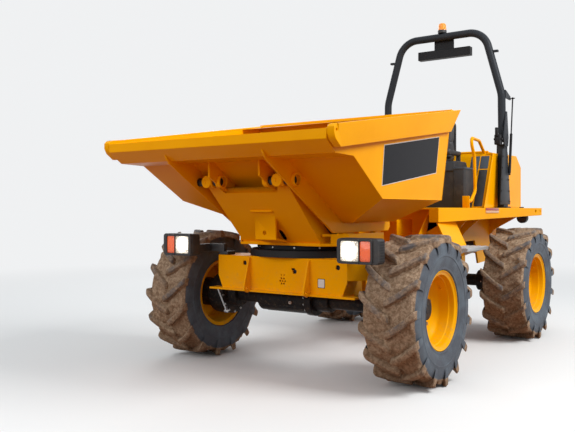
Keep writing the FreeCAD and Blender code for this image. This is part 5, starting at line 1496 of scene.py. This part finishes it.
@dataclass
class RearEnd(Assembly):
    """The rear frame, platform, steps, tanks and tail lamps."""

    side_eye: tuple[float, float] = (3.189, 1.2)
    side_eye_radius: float = 0.018
    reflector_behind: tuple[float, float] = (2.07, 2.33)

    def build(self) -> None:
        """Dresses the rear chassis and adds its small parts."""
        self.dressed("rear_frame", YELLOW, 0.0025)
        self.dressed("platform", YELLOW, 0.004, cuts=self.eye_holes)
        # Dark discs in the round eyes: painted shade for the blind holes.
        self.shaped("side_eye_bottoms", self.eye_shade_discs, BLACK)
        # The reflectors' glow comes from their lens finishes and is painted light; they are not lamps.
        self.shaped("side_reflectors_upper", lambda target: self.reflectors(target, 1.2125, 1.235), RED_LENS)
        self.shaped("side_reflectors_lower", lambda target: self.reflectors(target, 1.188, 1.21), PALE_GLOWING_REFLECTOR)
        self.dressed("steps", GALVANISED, 0.0025)
        self.dressed("side_tanks", BLACK, 0.012)
        self.shaped("tail_lamp_lenses", lambda target: self.tail_lamps(target, 0.0, 0.008, 0.046), RED_LENS,
                    ("tail_lamps",), smooth=30)
        self.shaped("tail_lamp_housings", lambda target: self.tail_lamps(target, 0.006, 0.07, 0.056), BLACK_PLASTIC,
                    smooth=30)
        self.shaped("tail_lamp_brackets", self.brackets, BLACK)
        self.shaped("rear_side_plates", self.side_plates, YELLOW)
        self.shaped("rear_side_bolts", self.side_bolts, PIN_STEEL, smooth=30)
        self.dressed("engine_block", ENGINE_IRON, 0.02)
        low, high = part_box("steps")
        spots = [{"Columns": 4, "Rows": 14, "Span": 0.16, "Depth": 0.46, "Size": (0.012, 0.012, 0.004),
                  "Place": (side * (high.x - 0.105), along(1.4125), 0.893)} for side in SIDES]
        self.repeated("tread_grips", Layout.GRID, Item.ROUND_HEAD, GALVANISED, spots)

    def skin(self, side: int, behind: float, height: float) -> float:
        """Returns how far out the platform's side beam is at a place along it."""
        mesh = bpy.data.objects["platform"].data
        tree = BVHTree.FromPolygons([vert.co for vert in mesh.vertices], [list(face.vertices) for face in mesh.polygons])
        hit = tree.ray_cast(Vector((side * 2.0, along(behind), height)), Vector((-side, 0, 0)))[0]
        return hit.x if hit else side * 0.79

    def eye_holes(self, tool: bmesh.types.BMesh) -> None:
        """Adds what is cut for the round eye near the rear of each side beam."""
        for side in SIDES:
            x = self.skin(side, *self.side_eye)
            place = along(self.side_eye[0])
            Stock.peg(tool, (x + side * 0.02, place, self.side_eye[1]), (x - side * 0.014, place, self.side_eye[1]),
                      self.side_eye_radius)

    def eye_shade_discs(self, target: bmesh.types.BMesh) -> None:
        """Adds a dark disc at the bottom of each round eye: painted shade for the blind hole's inside."""
        for side in SIDES:
            x = self.skin(side, *self.side_eye)
            place = along(self.side_eye[0])
            Stock.bar(target, (x - side * 0.016, place, self.side_eye[1]), (x - side * 0.0125, place, self.side_eye[1]),
                      self.side_eye_radius - 0.0004, 0.0005, 32)

    def reflectors(self, target: bmesh.types.BMesh, low: float, high: float) -> None:
        """Adds one strip of the reflectors on the side beams."""
        near, far = self.reflector_behind
        middle = (low + high) / 2
        for side in SIDES:
            first, last = self.skin(side, near, middle), self.skin(side, far, middle)
            outline = rounded((near, low), (far, high), 0.003, 3)
            Stock.plate(target, lambda d, z, depth: Vector((first + (last - first) * (d - near) / (far - near)
                                                            + side * depth, along(d), z)), outline, -0.001, 0.006, 0.0015)

    def tail_lamps(self, target: bmesh.types.BMesh, near: float, far: float, radius: float) -> None:
        """Adds a round layer of the two tail lamps, counted forward from their rear faces."""
        low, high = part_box("tail_lamps")
        z = (low.z + high.z) / 2
        radius = min(radius, (high.z - low.z) / 2)
        for side in SIDES:
            Stock.bar(target, (side * 0.735, high.y - near, z), (side * 0.735, high.y - far, z), radius, 0.004, 40)

    def brackets(self, target: bmesh.types.BMesh) -> None:
        """Adds the plates that hold the tail lamps under the platform."""
        low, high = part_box("tail_lamps")
        for side in SIDES:
            span = sorted((side * 0.71, side * 0.76))
            Stock.block(target, (span[0], high.y - 0.075, (low.z + high.z) / 2), (span[1], high.y - 0.068, high.z + 0.03), 0.002)

    def side_plates(self, target: bmesh.types.BMesh) -> None:
        """Adds the plates that carry the platform's front edge, with their inner webs."""
        outline = [(1.133, 0.955), (1.366, 1.172), (1.56, 1.172), (1.56, 0.955)]
        inner = rounded((1.25, 0.983), (1.57, 1.13), 0.02, 4)
        for side in SIDES:
            Stock.plate(target, Plane.SIDE.point, outline, side * 0.438, side * 0.45, 0.002)
            Stock.plate(target, Plane.SIDE.point, inner, side * 0.19, side * 0.202, 0.002)

    def side_bolts(self, target: bmesh.types.BMesh) -> None:
        """Adds the bolt heads on the side plates."""
        for side in SIDES:
            for d, z in ((1.195, 0.985), (1.3, 0.985), (1.42, 0.985), (1.4, 1.13), (1.5, 1.13)):
                Stock.bar(target, (side * 0.449, along(d), z), (side * 0.459, along(d), z), 0.011, 0.0015, 6)


@dataclass
class Bodywork(Assembly):
    """The engine cowl, its grille and its lifting cover."""

    def build(self) -> None:
        """Dresses the bodywork."""
        self.dressed("engine_cowl", COWL_YELLOW, 0.006)
        self.dressed("rear_grille", BLACK_PLASTIC, 0.001)
        self.dressed("engine_cover", COWL_YELLOW, 0.004, body="engine_lid")


@dataclass
class DriverPlace(Assembly):
    """The seat, the steering wheel, the console and the grab rails."""

    rail_x: float = 0.608
    dark_panels: tuple[tuple[float, float, float, float], ...] = ((0.512, 0.598, 0.016, 0.424),)
    slate_panels: tuple[tuple[float, float, float, float], ...] = ((0.512, 0.598, 0.436, 0.58), (0.41, 0.5, 0.43, 0.58))
    rail_radius: float = 0.016
    wheel_behind: float = 1.845
    wheel_height: float = 1.915
    wheel_lean: float = 30.0
    wheel_radius: float = 0.185

    def build(self) -> None:
        """Makes every piece round the driver."""
        self.dressed("seat_base", BLACK_PLASTIC, 0.01)
        self.padded("seat_cushion", self.cushion, SEAT_VINYL, ("seat",))
        self.padded("seat_back", self.back, SEAT_VINYL)
        self.shaped("seat_piping", self.piping, BLACK_PLASTIC, smooth=60)
        self.shaped("side_consoles", self.consoles, BLACK_PLASTIC)
        self.shaped("console_lips", self.lips, SLATE)
        self.shaped("cowl_dark_panels", lambda target: self.panels(target, self.dark_panels), BLACK_PLASTIC)
        self.shaped("cowl_slate_panels", lambda target: self.panels(target, self.slate_panels), SLATE)
        self.shaped("armrest_knobs", self.knobs, BLACK_PLASTIC, smooth=40)
        self.shaped("grab_rails_finished", self.rails, YELLOW, ("grab_rails",), smooth=40)
        self.shaped("steering_wheel_finished", self.steering, BLACK_PLASTIC, ("steering_console",), smooth=40)

    def cushion(self, target: bmesh.types.BMesh) -> None:
        """Adds the cushion's starting form, with raised sides."""
        Stock.plate(target, Plane.LEVEL.point, rounded((-0.238, 2.102), (0.238, 2.45), 0.05, 6), 1.648, 1.7, 0.018, 3)
        for side in SIDES:
            span = sorted((side * 0.175, side * 0.236))
            Stock.plate(target, Plane.LEVEL.point, rounded((span[0], 2.12), (span[1], 2.44), 0.028, 5), 1.66, 1.712,
                        0.014, 3)

    def back(self, target: bmesh.types.BMesh) -> None:
        """Adds the backrest's starting form, with its side bolsters."""
        Stock.plate(target, Plane.CROSS.point, rounded((-0.223, 1.69), (0.223, 2.148), 0.06, 6), 2.475, 2.573, 0.02, 3)
        for side in SIDES:
            span = sorted((side * 0.16, side * 0.222))
            Stock.plate(target, Plane.CROSS.point, rounded((span[0], 1.75), (span[1], 2.09), 0.028, 5), 2.452, 2.52,
                        0.016, 3)

    def piping(self, target: bmesh.types.BMesh) -> None:
        """Adds the shell that the cushion and the backrest sit in."""
        Stock.plate(target, Plane.LEVEL.point, rounded((-0.246, 2.094), (0.246, 2.458), 0.05, 6), 1.64, 1.652, 0.004)
        Stock.plate(target, Plane.CROSS.point, rounded((-0.233, 1.68), (0.233, 2.156), 0.06, 6), 2.568, 2.585, 0.005)

    def consoles(self, target: bmesh.types.BMesh) -> None:
        """Adds the boxes beside the seat."""
        for side in SIDES:
            outline = [(2.1, 1.24), (2.325, 1.24), (2.492, 1.626), (2.1, 1.626)]
            Stock.plate(target, Plane.SIDE.point, outline, side * 0.396, side * 0.5, 0.006, 3)

    def lips(self, target: bmesh.types.BMesh) -> None:
        """Adds the lighter lip on top of each box."""
        for side in SIDES:
            outline = [(2.094, 1.618), (2.48, 1.618), (2.489, 1.638), (2.094, 1.638)]
            Stock.plate(target, Plane.SIDE.point, outline, side * 0.392, side * 0.506, 0.004)

    def knobs(self, target: bmesh.types.BMesh) -> None:
        """Adds the round ends of the armrests and their arms."""
        for side in SIDES:
            x = side * 0.31
            Stock.bar(target, (x - 0.035, along(2.15), 1.795), (x + 0.035, along(2.15), 1.795), 0.032, 0.01, 32)
            Stock.block(target, (x - 0.03, along(2.15), 1.772), (x + 0.03, along(2.45), 1.818), 0.014)
            Stock.block(target, (x - 0.02, along(2.42), 1.6), (x + 0.02, along(2.46), 1.79), 0.006)

    def panels(self, target: bmesh.types.BMesh, spans: Sequence[tuple[float, float, float, float]]) -> None:
        """Adds flat panels on the cowl's slanted front, each given by its sides and its span up the slope."""
        rise, run = math.sin(math.atan2(0.5627, 0.245)), math.cos(math.atan2(0.5627, 0.245))
        for side in SIDES:
            for x0, x1, low, high in spans:
                a, b = sorted((side * x0, side * x1))
                Stock.plate(target, lambda x, s, depth: Vector((x, along(2.330 + run * s - rise * depth),
                                                                1.2373 + rise * s + run * depth)),
                            rounded((a, low), (b, high), 0.006, 3), -0.002, 0.0035, 0.0012)

    def rails(self, target: bmesh.types.BMesh) -> None:
        """Adds the two bent rails with their foot plates."""
        for side in SIDES:
            stops = [(0.608, 1.885, 1.31), (0.608, 2.0, 1.3), (0.608, 2.122, 1.4), (0.608, 2.098, 1.74),
                     (0.608, 1.985, 1.912), (0.545, 2.4, 1.915), (0.53, 2.6, 1.8)]
            path = bent([(side * x, along(d), z) for x, d, z in stops], (0.06, 0.08, 0.12, 0.06, 0.06))
            Stock.tube(target, path, self.rail_radius, 20)
            x = side * self.rail_x
            Stock.block(target, (x - 0.034, along(1.872), 1.2373), (x + 0.034, along(1.887), 1.35), 0.003)
            Stock.bar(target, (side * 0.53, along(2.6), 1.7995), (side * 0.53, along(2.6), 1.808), 0.032, 0.002, 32)

    def steering(self, target: bmesh.types.BMesh) -> None:
        """Adds the pedestal, the column and the wheel with its grip, spokes and hub."""
        lean = math.radians(self.wheel_lean)
        outline = [(1.56, 1.2373), (1.65, 1.7), (1.70, 1.775), (1.80, 1.735), (1.76, 1.2373)]
        foot = [target.verts.new((-0.14, along(d), z)) for d, z in outline]
        face = target.faces.new(foot)
        made = bmesh.ops.extrude_face_region(target, geom=[face])["geom"]
        moved = [item for item in made if isinstance(item, bmesh.types.BMVert)]
        bmesh.ops.translate(target, verts=moved, vec=(0.28, 0, 0))
        edges = [edge for edge in target.edges]
        bmesh.ops.bevel(target, geom=edges, offset=0.012, segments=3, profile=0.5, affect="EDGES")
        centre = Vector((0, along(self.wheel_behind), self.wheel_height))
        down = Vector((0, -math.sin(lean), -math.cos(lean)))
        Stock.bar(target, centre + down * 0.2, centre, 0.026, 0.003, 32)
        spin = Matrix.Translation(centre) @ Matrix.Rotation(-lean, 4, "X") @ Matrix.Rotation(-math.pi / 2, 4, "Y")
        grip = [(0.012 * math.cos(k * math.pi / 6), self.wheel_radius + 0.012 * math.sin(k * math.pi / 6))
                for k in range(12)]
        Stock.lathe(target, grip, 72, spin, closed=True)
        Stock.lathe(target, [(-0.012, 0), (-0.012, 0.03), (0.0, 0.038), (0.012, 0.034), (0.017, 0.02), (0.017, 0)],
                    32, spin)
        for turn in (0, 2 * math.pi / 3, 4 * math.pi / 3):
            tip = spin @ Vector((0, 0.178 * math.sin(turn), -0.178 * math.cos(turn)))
            Stock.bar(target, spin @ Vector((0, 0, 0)), tip, 0.0085, 0.002, 16)


@dataclass
class RollFrame(Assembly):
    """The folding roll frame with its posts, beacon and lamp board."""

    behind: float = 2.76
    post_x: float = 0.66
    hinge_z: float = 1.96
    tube: float = 0.04
    top: float = 3.105

    def build(self) -> None:
        """Makes the hoop smooth and dresses the rest."""
        self.dressed("rops_posts", DARK_GREY, 0.003, body="rear_chassis")
        self.shaped("post_cheeks", self.cheeks, DARK_GREY, body="rear_chassis")
        self.shaped("post_cheek_bolts", self.cheek_bolts, GREASED_AND_SHADED, body="rear_chassis", smooth=30)
        self.shaped("hoop_latches", self.latches, BLACK, body="rear_chassis")
        self.shaped("rops_hoop_finished", self.hoop, DARK_GREY, ("rops_hoop",), smooth=40)
        self.dressed("lamp_board", BLACK, 0.004)
        self.shaped("beacon_base_finished", self.beacon_foot, BLACK_PLASTIC, ("beacon_base",), smooth=30)
        self.shaped("beacon_lens_finished", self.beacon, AMBER_LENS, ("beacon_lens",), smooth=50)

    def cheeks(self, target: bmesh.types.BMesh) -> None:
        """Adds the wide plates outside the posts."""
        outline = [(2.62, 1.81), (2.55, 1.272), (2.868, 1.272), (2.784, 1.81), (2.765, 1.845), (2.64, 1.845)]
        for side in SIDES:
            Stock.plate(target, Plane.SIDE.point, outline, side * 0.7035, side * 0.7125, 0.002)

    def latches(self, target: bmesh.types.BMesh) -> None:
        """Adds the catch ahead of each post's head, with its lever and pin."""
        for side in SIDES:
            x = side * 0.66
            Stock.block(target, (x - 0.03, along(2.6), 1.885), (x + 0.03, along(2.69), 1.99), 0.008)
            Stock.block(target, (x - 0.014, along(2.575), 1.97), (x + 0.014, along(2.615), 2.06), 0.006)
            Stock.bar(target, (x - 0.045, along(2.64), 1.945), (x + 0.045, along(2.64), 1.945), 0.012, 0.002, 20)

    def cheek_bolts(self, target: bmesh.types.BMesh) -> None:
        """Adds the bolts along the plates' two edges and foot."""
        for side in SIDES:
            for share in (0.08, 0.3, 0.52, 0.74, 0.94):
                z = 1.81 - share * 0.538
                for d in (2.62 - share * 0.07 + 0.02, 2.784 + share * 0.084 - 0.02):
                    Stock.bar(target, (side * 0.712, along(d), z), (side * 0.719, along(d), z), 0.0085, 0.0012, 6)

    def hoop(self, target: bmesh.types.BMesh) -> None:
        """Adds the bent tube, its lugs, the plates at its feet and the strut's bracket."""
        feet = [(2.75, 2.24), (2.672, 1.97), (2.7, 1.885), (2.76, 1.862), (2.82, 1.885), (2.835, 1.97), (2.79, 2.24)]
        for side in SIDES:
            Stock.plate(target, Plane.SIDE.point, feet, side * 0.697, side * 0.706, 0.002)
            Stock.block(target, (side * 0.575 - 0.045, along(2.74), 2.868), (side * 0.575 + 0.045, along(2.78), 2.89), 0.003)
        y = along(self.behind)
        foot = self.hinge_z + 0.055
        stops = [(self.post_x, y, foot), (0.655, y, 2.425), (0.467, y, self.top)]
        path = bent(stops + [(-x, b, c) for x, b, c in reversed(stops)], (0.3, 0.22, 0.22, 0.3), 0.06)
        Stock.tube(target, path, self.tube, 36)
        for side in SIDES:
            x = side * self.post_x
            ends = [(x - 0.024, y, self.hinge_z), (x + 0.024, y, self.hinge_z)]
            Stock.turned(target, *ends, [(0, 0.015), (0, 0.038), (0.002, 0.04), (0.046, 0.04), (0.048, 0.038),
                                         (0.048, 0.015), (0, 0.015)], 48)
            Stock.block(target, (x - 0.024, y - 0.038, self.hinge_z + 0.01), (x + 0.024, y + 0.038, foot + 0.06), 0.003)
        outline = [(2.76, 2.38), (2.76, 2.465), (2.913, 2.412), (2.923, 2.376), (2.891, 2.376)]
        loops = [[target.verts.new((x, along(d), z)) for d, z in outline] for x in (0.686, 0.7)]
        target.faces.new(loops[0])
        target.faces.new(loops[1])
        for k in range(len(outline)):
            near = (k + 1) % len(outline)
            target.faces.new((loops[0][k], loops[0][near], loops[1][near], loops[1][k]))

    def beacon_foot(self, target: bmesh.types.BMesh) -> None:
        """Adds the beacon's base."""
        y, z = along(self.behind), self.top + self.tube
        profile = [(0, 0), (0, 0.042), (0.004, 0.047), (0.026, 0.048), (0.034, 0.046), (0.034, 0)]
        Stock.turned(target, (0, y, z), (0, y, z + 0.034), profile, 48)

    def beacon(self, target: bmesh.types.BMesh) -> None:
        """Adds the beacon's lens with its rings."""
        y, z = along(self.behind), self.top + self.tube + 0.0343
        profile = [(0, 0), (0, 0.0455)]
        for k in range(8):
            height = 0.004 + 0.007 * k
            radius = 0.0452 - 0.00045 * k
            profile += [(height, radius), (height + 0.004, radius), (height + 0.0048, radius - 0.0009)]
        profile += [(0.066, 0.037), (0.073, 0.029), (0.0765, 0.015), (0.0775, 0)]
        Stock.turned(target, (0, y, z), (0, y, z + 0.0775), profile, 56)


@dataclass
class Studio:
    """The floor, the lights and the camera."""

    camera_place: Point = (3.117, -5.770, 1.221)
    camera_turn: float = 34.9
    lens: float = 45.08
    shift: float = -0.0113
    backdrop: Point = (0.87, 0.88, 0.89)
    floor_look: Point = (0.8, 0.8, 0.79)
    floor_bounce: Point = (0.3, 0.13, 0.055)

    def camera(self) -> None:
        """Sets the camera where the photograph was taken."""
        data = bpy.data.cameras.new("camera")
        data.lens = self.lens
        data.sensor_width = 36.0
        data.shift_y = self.shift
        made = bpy.data.objects.new("camera", data)
        made.location = self.camera_place
        made.rotation_euler = (math.pi / 2, 0, math.radians(self.camera_turn))
        bpy.context.scene.collection.objects.link(made)
        bpy.context.scene.camera = made

    def floor(self) -> None:
        """Lays a plain pale floor."""
        target = bmesh.new()
        bmesh.ops.create_grid(target, x_segments=1, y_segments=1, size=60)
        mesh = bpy.data.meshes.new("floor")
        target.to_mesh(mesh)
        target.free()
        made = bpy.data.objects.new("floor", mesh)
        bpy.context.scene.collection.objects.link(made)
        graph = Graph("floor_finish")
        graph.shader.inputs["Roughness"].default_value = 0.95
        graph.shader.inputs["Specular IOR Level"].default_value = 0.1
        x, y, _ = graph.parts()
        far = (x * x + y * y).root().ramp(3.2, 11.0)
        paths = graph.node("LightPath", {}, {})
        seen = (Field(graph, paths.outputs["Is Camera Ray"]) + Field(graph, paths.outputs["Is Glossy Ray"])
                + Field(graph, paths.outputs["Is Transmission Ray"])).ramp(0.0, 1.0)
        pale = graph.mix(seen, (*self.floor_bounce, 1.0), (*self.floor_look, 1.0))
        graph.feed(graph.shader.inputs["Base Color"], pale)
        backdrop = graph.node("Emission", {}, {"Color": (*self.backdrop, 1.0), "Strength": 1.0})
        mixed = graph.node("MixShader", {}, {0: far * seen, 1: graph.shader.outputs[0], 2: backdrop.outputs[0]})
        graph.feed(graph.tree.nodes["Material Output"].inputs["Surface"], mixed.outputs[0])
        mesh.materials.append(graph.material)

    def light(self, name: str, place: Point, aim: Point, size: float, power: float) -> None:
        """Hangs one soft square lamp."""
        data = bpy.data.lights.new(name, "AREA")
        data.size = size
        data.energy = power
        made = bpy.data.objects.new(name, data)
        made.location = place
        made.rotation_euler = (Vector(aim) - Vector(place)).to_track_quat("-Z", "Y").to_euler()
        bpy.context.scene.collection.objects.link(made)

    def world(self) -> None:
        """Fills the room with even light, and shows a pale backdrop to the camera and in reflections."""
        world = bpy.data.worlds.new("room")
        bpy.context.scene.world = world
        world.use_nodes = True
        tree = world.node_tree
        tree.nodes.clear()
        paths = tree.nodes.new("ShaderNodeLightPath")
        seen = tree.nodes.new("ShaderNodeMath")
        seen.operation = "MAXIMUM"
        tree.links.new(paths.outputs["Is Camera Ray"], seen.inputs[0])
        either = tree.nodes.new("ShaderNodeMath")
        either.operation = "MAXIMUM"
        tree.links.new(paths.outputs["Is Glossy Ray"], either.inputs[0])
        tree.links.new(paths.outputs["Is Transmission Ray"], either.inputs[1])
        tree.links.new(either.outputs[0], seen.inputs[1])
        room = tree.nodes.new("ShaderNodeBackground")
        room.inputs["Color"].default_value = (0.9, 0.95, 1.0, 1)
        room.inputs["Strength"].default_value = 0.62
        backdrop = tree.nodes.new("ShaderNodeBackground")
        backdrop.inputs["Color"].default_value = (*self.backdrop, 1)
        mix = tree.nodes.new("ShaderNodeMixShader")
        tree.links.new(seen.outputs[0], mix.inputs[0])
        tree.links.new(room.outputs[0], mix.inputs[1])
        tree.links.new(backdrop.outputs[0], mix.inputs[2])
        out = tree.nodes.new("ShaderNodeOutputWorld")
        tree.links.new(mix.outputs[0], out.inputs[0])

    def build(self) -> None:
        """Sets the whole stage."""
        self.camera()
        self.floor()
        self.world()
        self.light("key", (6.5, 0.2, 6.5), (0, -0.4, 1.0), 4.0, 610)
        self.light("fill", (-1.5, -7.5, 4.5), (0, 0, 1.2), 5.0, 170)
        self.light("back", (-6.0, 4.5, 5.5), (0, 0.3, 1.5), 4.0, 160)
        bpy.context.scene.view_settings.view_transform = "Standard"


CORNERS = (("front_left", 1, 0.0), ("front_right", -1, 0.0), ("rear_left", 1, 2.264), ("rear_right", -1, 2.264))


def rams() -> list[Ram]:
    """Returns the tipping ram, the two steering rams and the roll frame's strut."""
    made = [Ram("tip_barrel", "tip_ram", "tip_rod", (0, along(-0.25), 1.04), (0, along(0.57), 1.06), share=0.9)]
    for name, side in (("left", 1), ("right", -1)):
        made.append(Ram(f"steer_{name}_barrel", f"steer_ram_{name}", f"steer_{name}_rod",
                        (side * 0.3, along(1.5), 0.6), (side * 0.28, along(0.75), 0.6), (0, 0, 1),
                        0.034, 0.017, 0.03, 0.014, 0.05, 0.0417, 0.66))
    made.append(Ram("strut_barrel", "rops_strut", "strut_rod", (0.725, along(2.8), 1.59),
                    (0.725, along(2.905), 2.39), (1, 0, 0), 0.014, 0.007, 0.012, 0.005, 0.016, 0.0247, 0.53,
                    rod_finish=BLACK))
    return made


def main() -> None:
    """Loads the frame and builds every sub-assembly in order."""
    logging.basicConfig(level=logging.INFO, format="%(message)s")
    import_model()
    Studio().build()
    for corner, side, behind in CORNERS:
        Wheel("wheel_" + corner, corner, side, behind).build()
    FrontEnd("front_chassis").build()
    Axle("front_chassis", "front_axle", 0.0, (-0.36, 0.09)).build()
    Axle("rear_chassis", "rear_axle", 2.264, (-0.22, 0.16)).build()
    SwivelLooks("swivel").build()
    SkipLooks("skip").build()
    for ram in rams():
        ram.build()
    RearEnd("rear_chassis").build()
    Bodywork("rear_chassis").build()
    DriverPlace("rear_chassis").build()
    RollFrame("roll_frame").build()


if __name__ == "__main__":
    main()
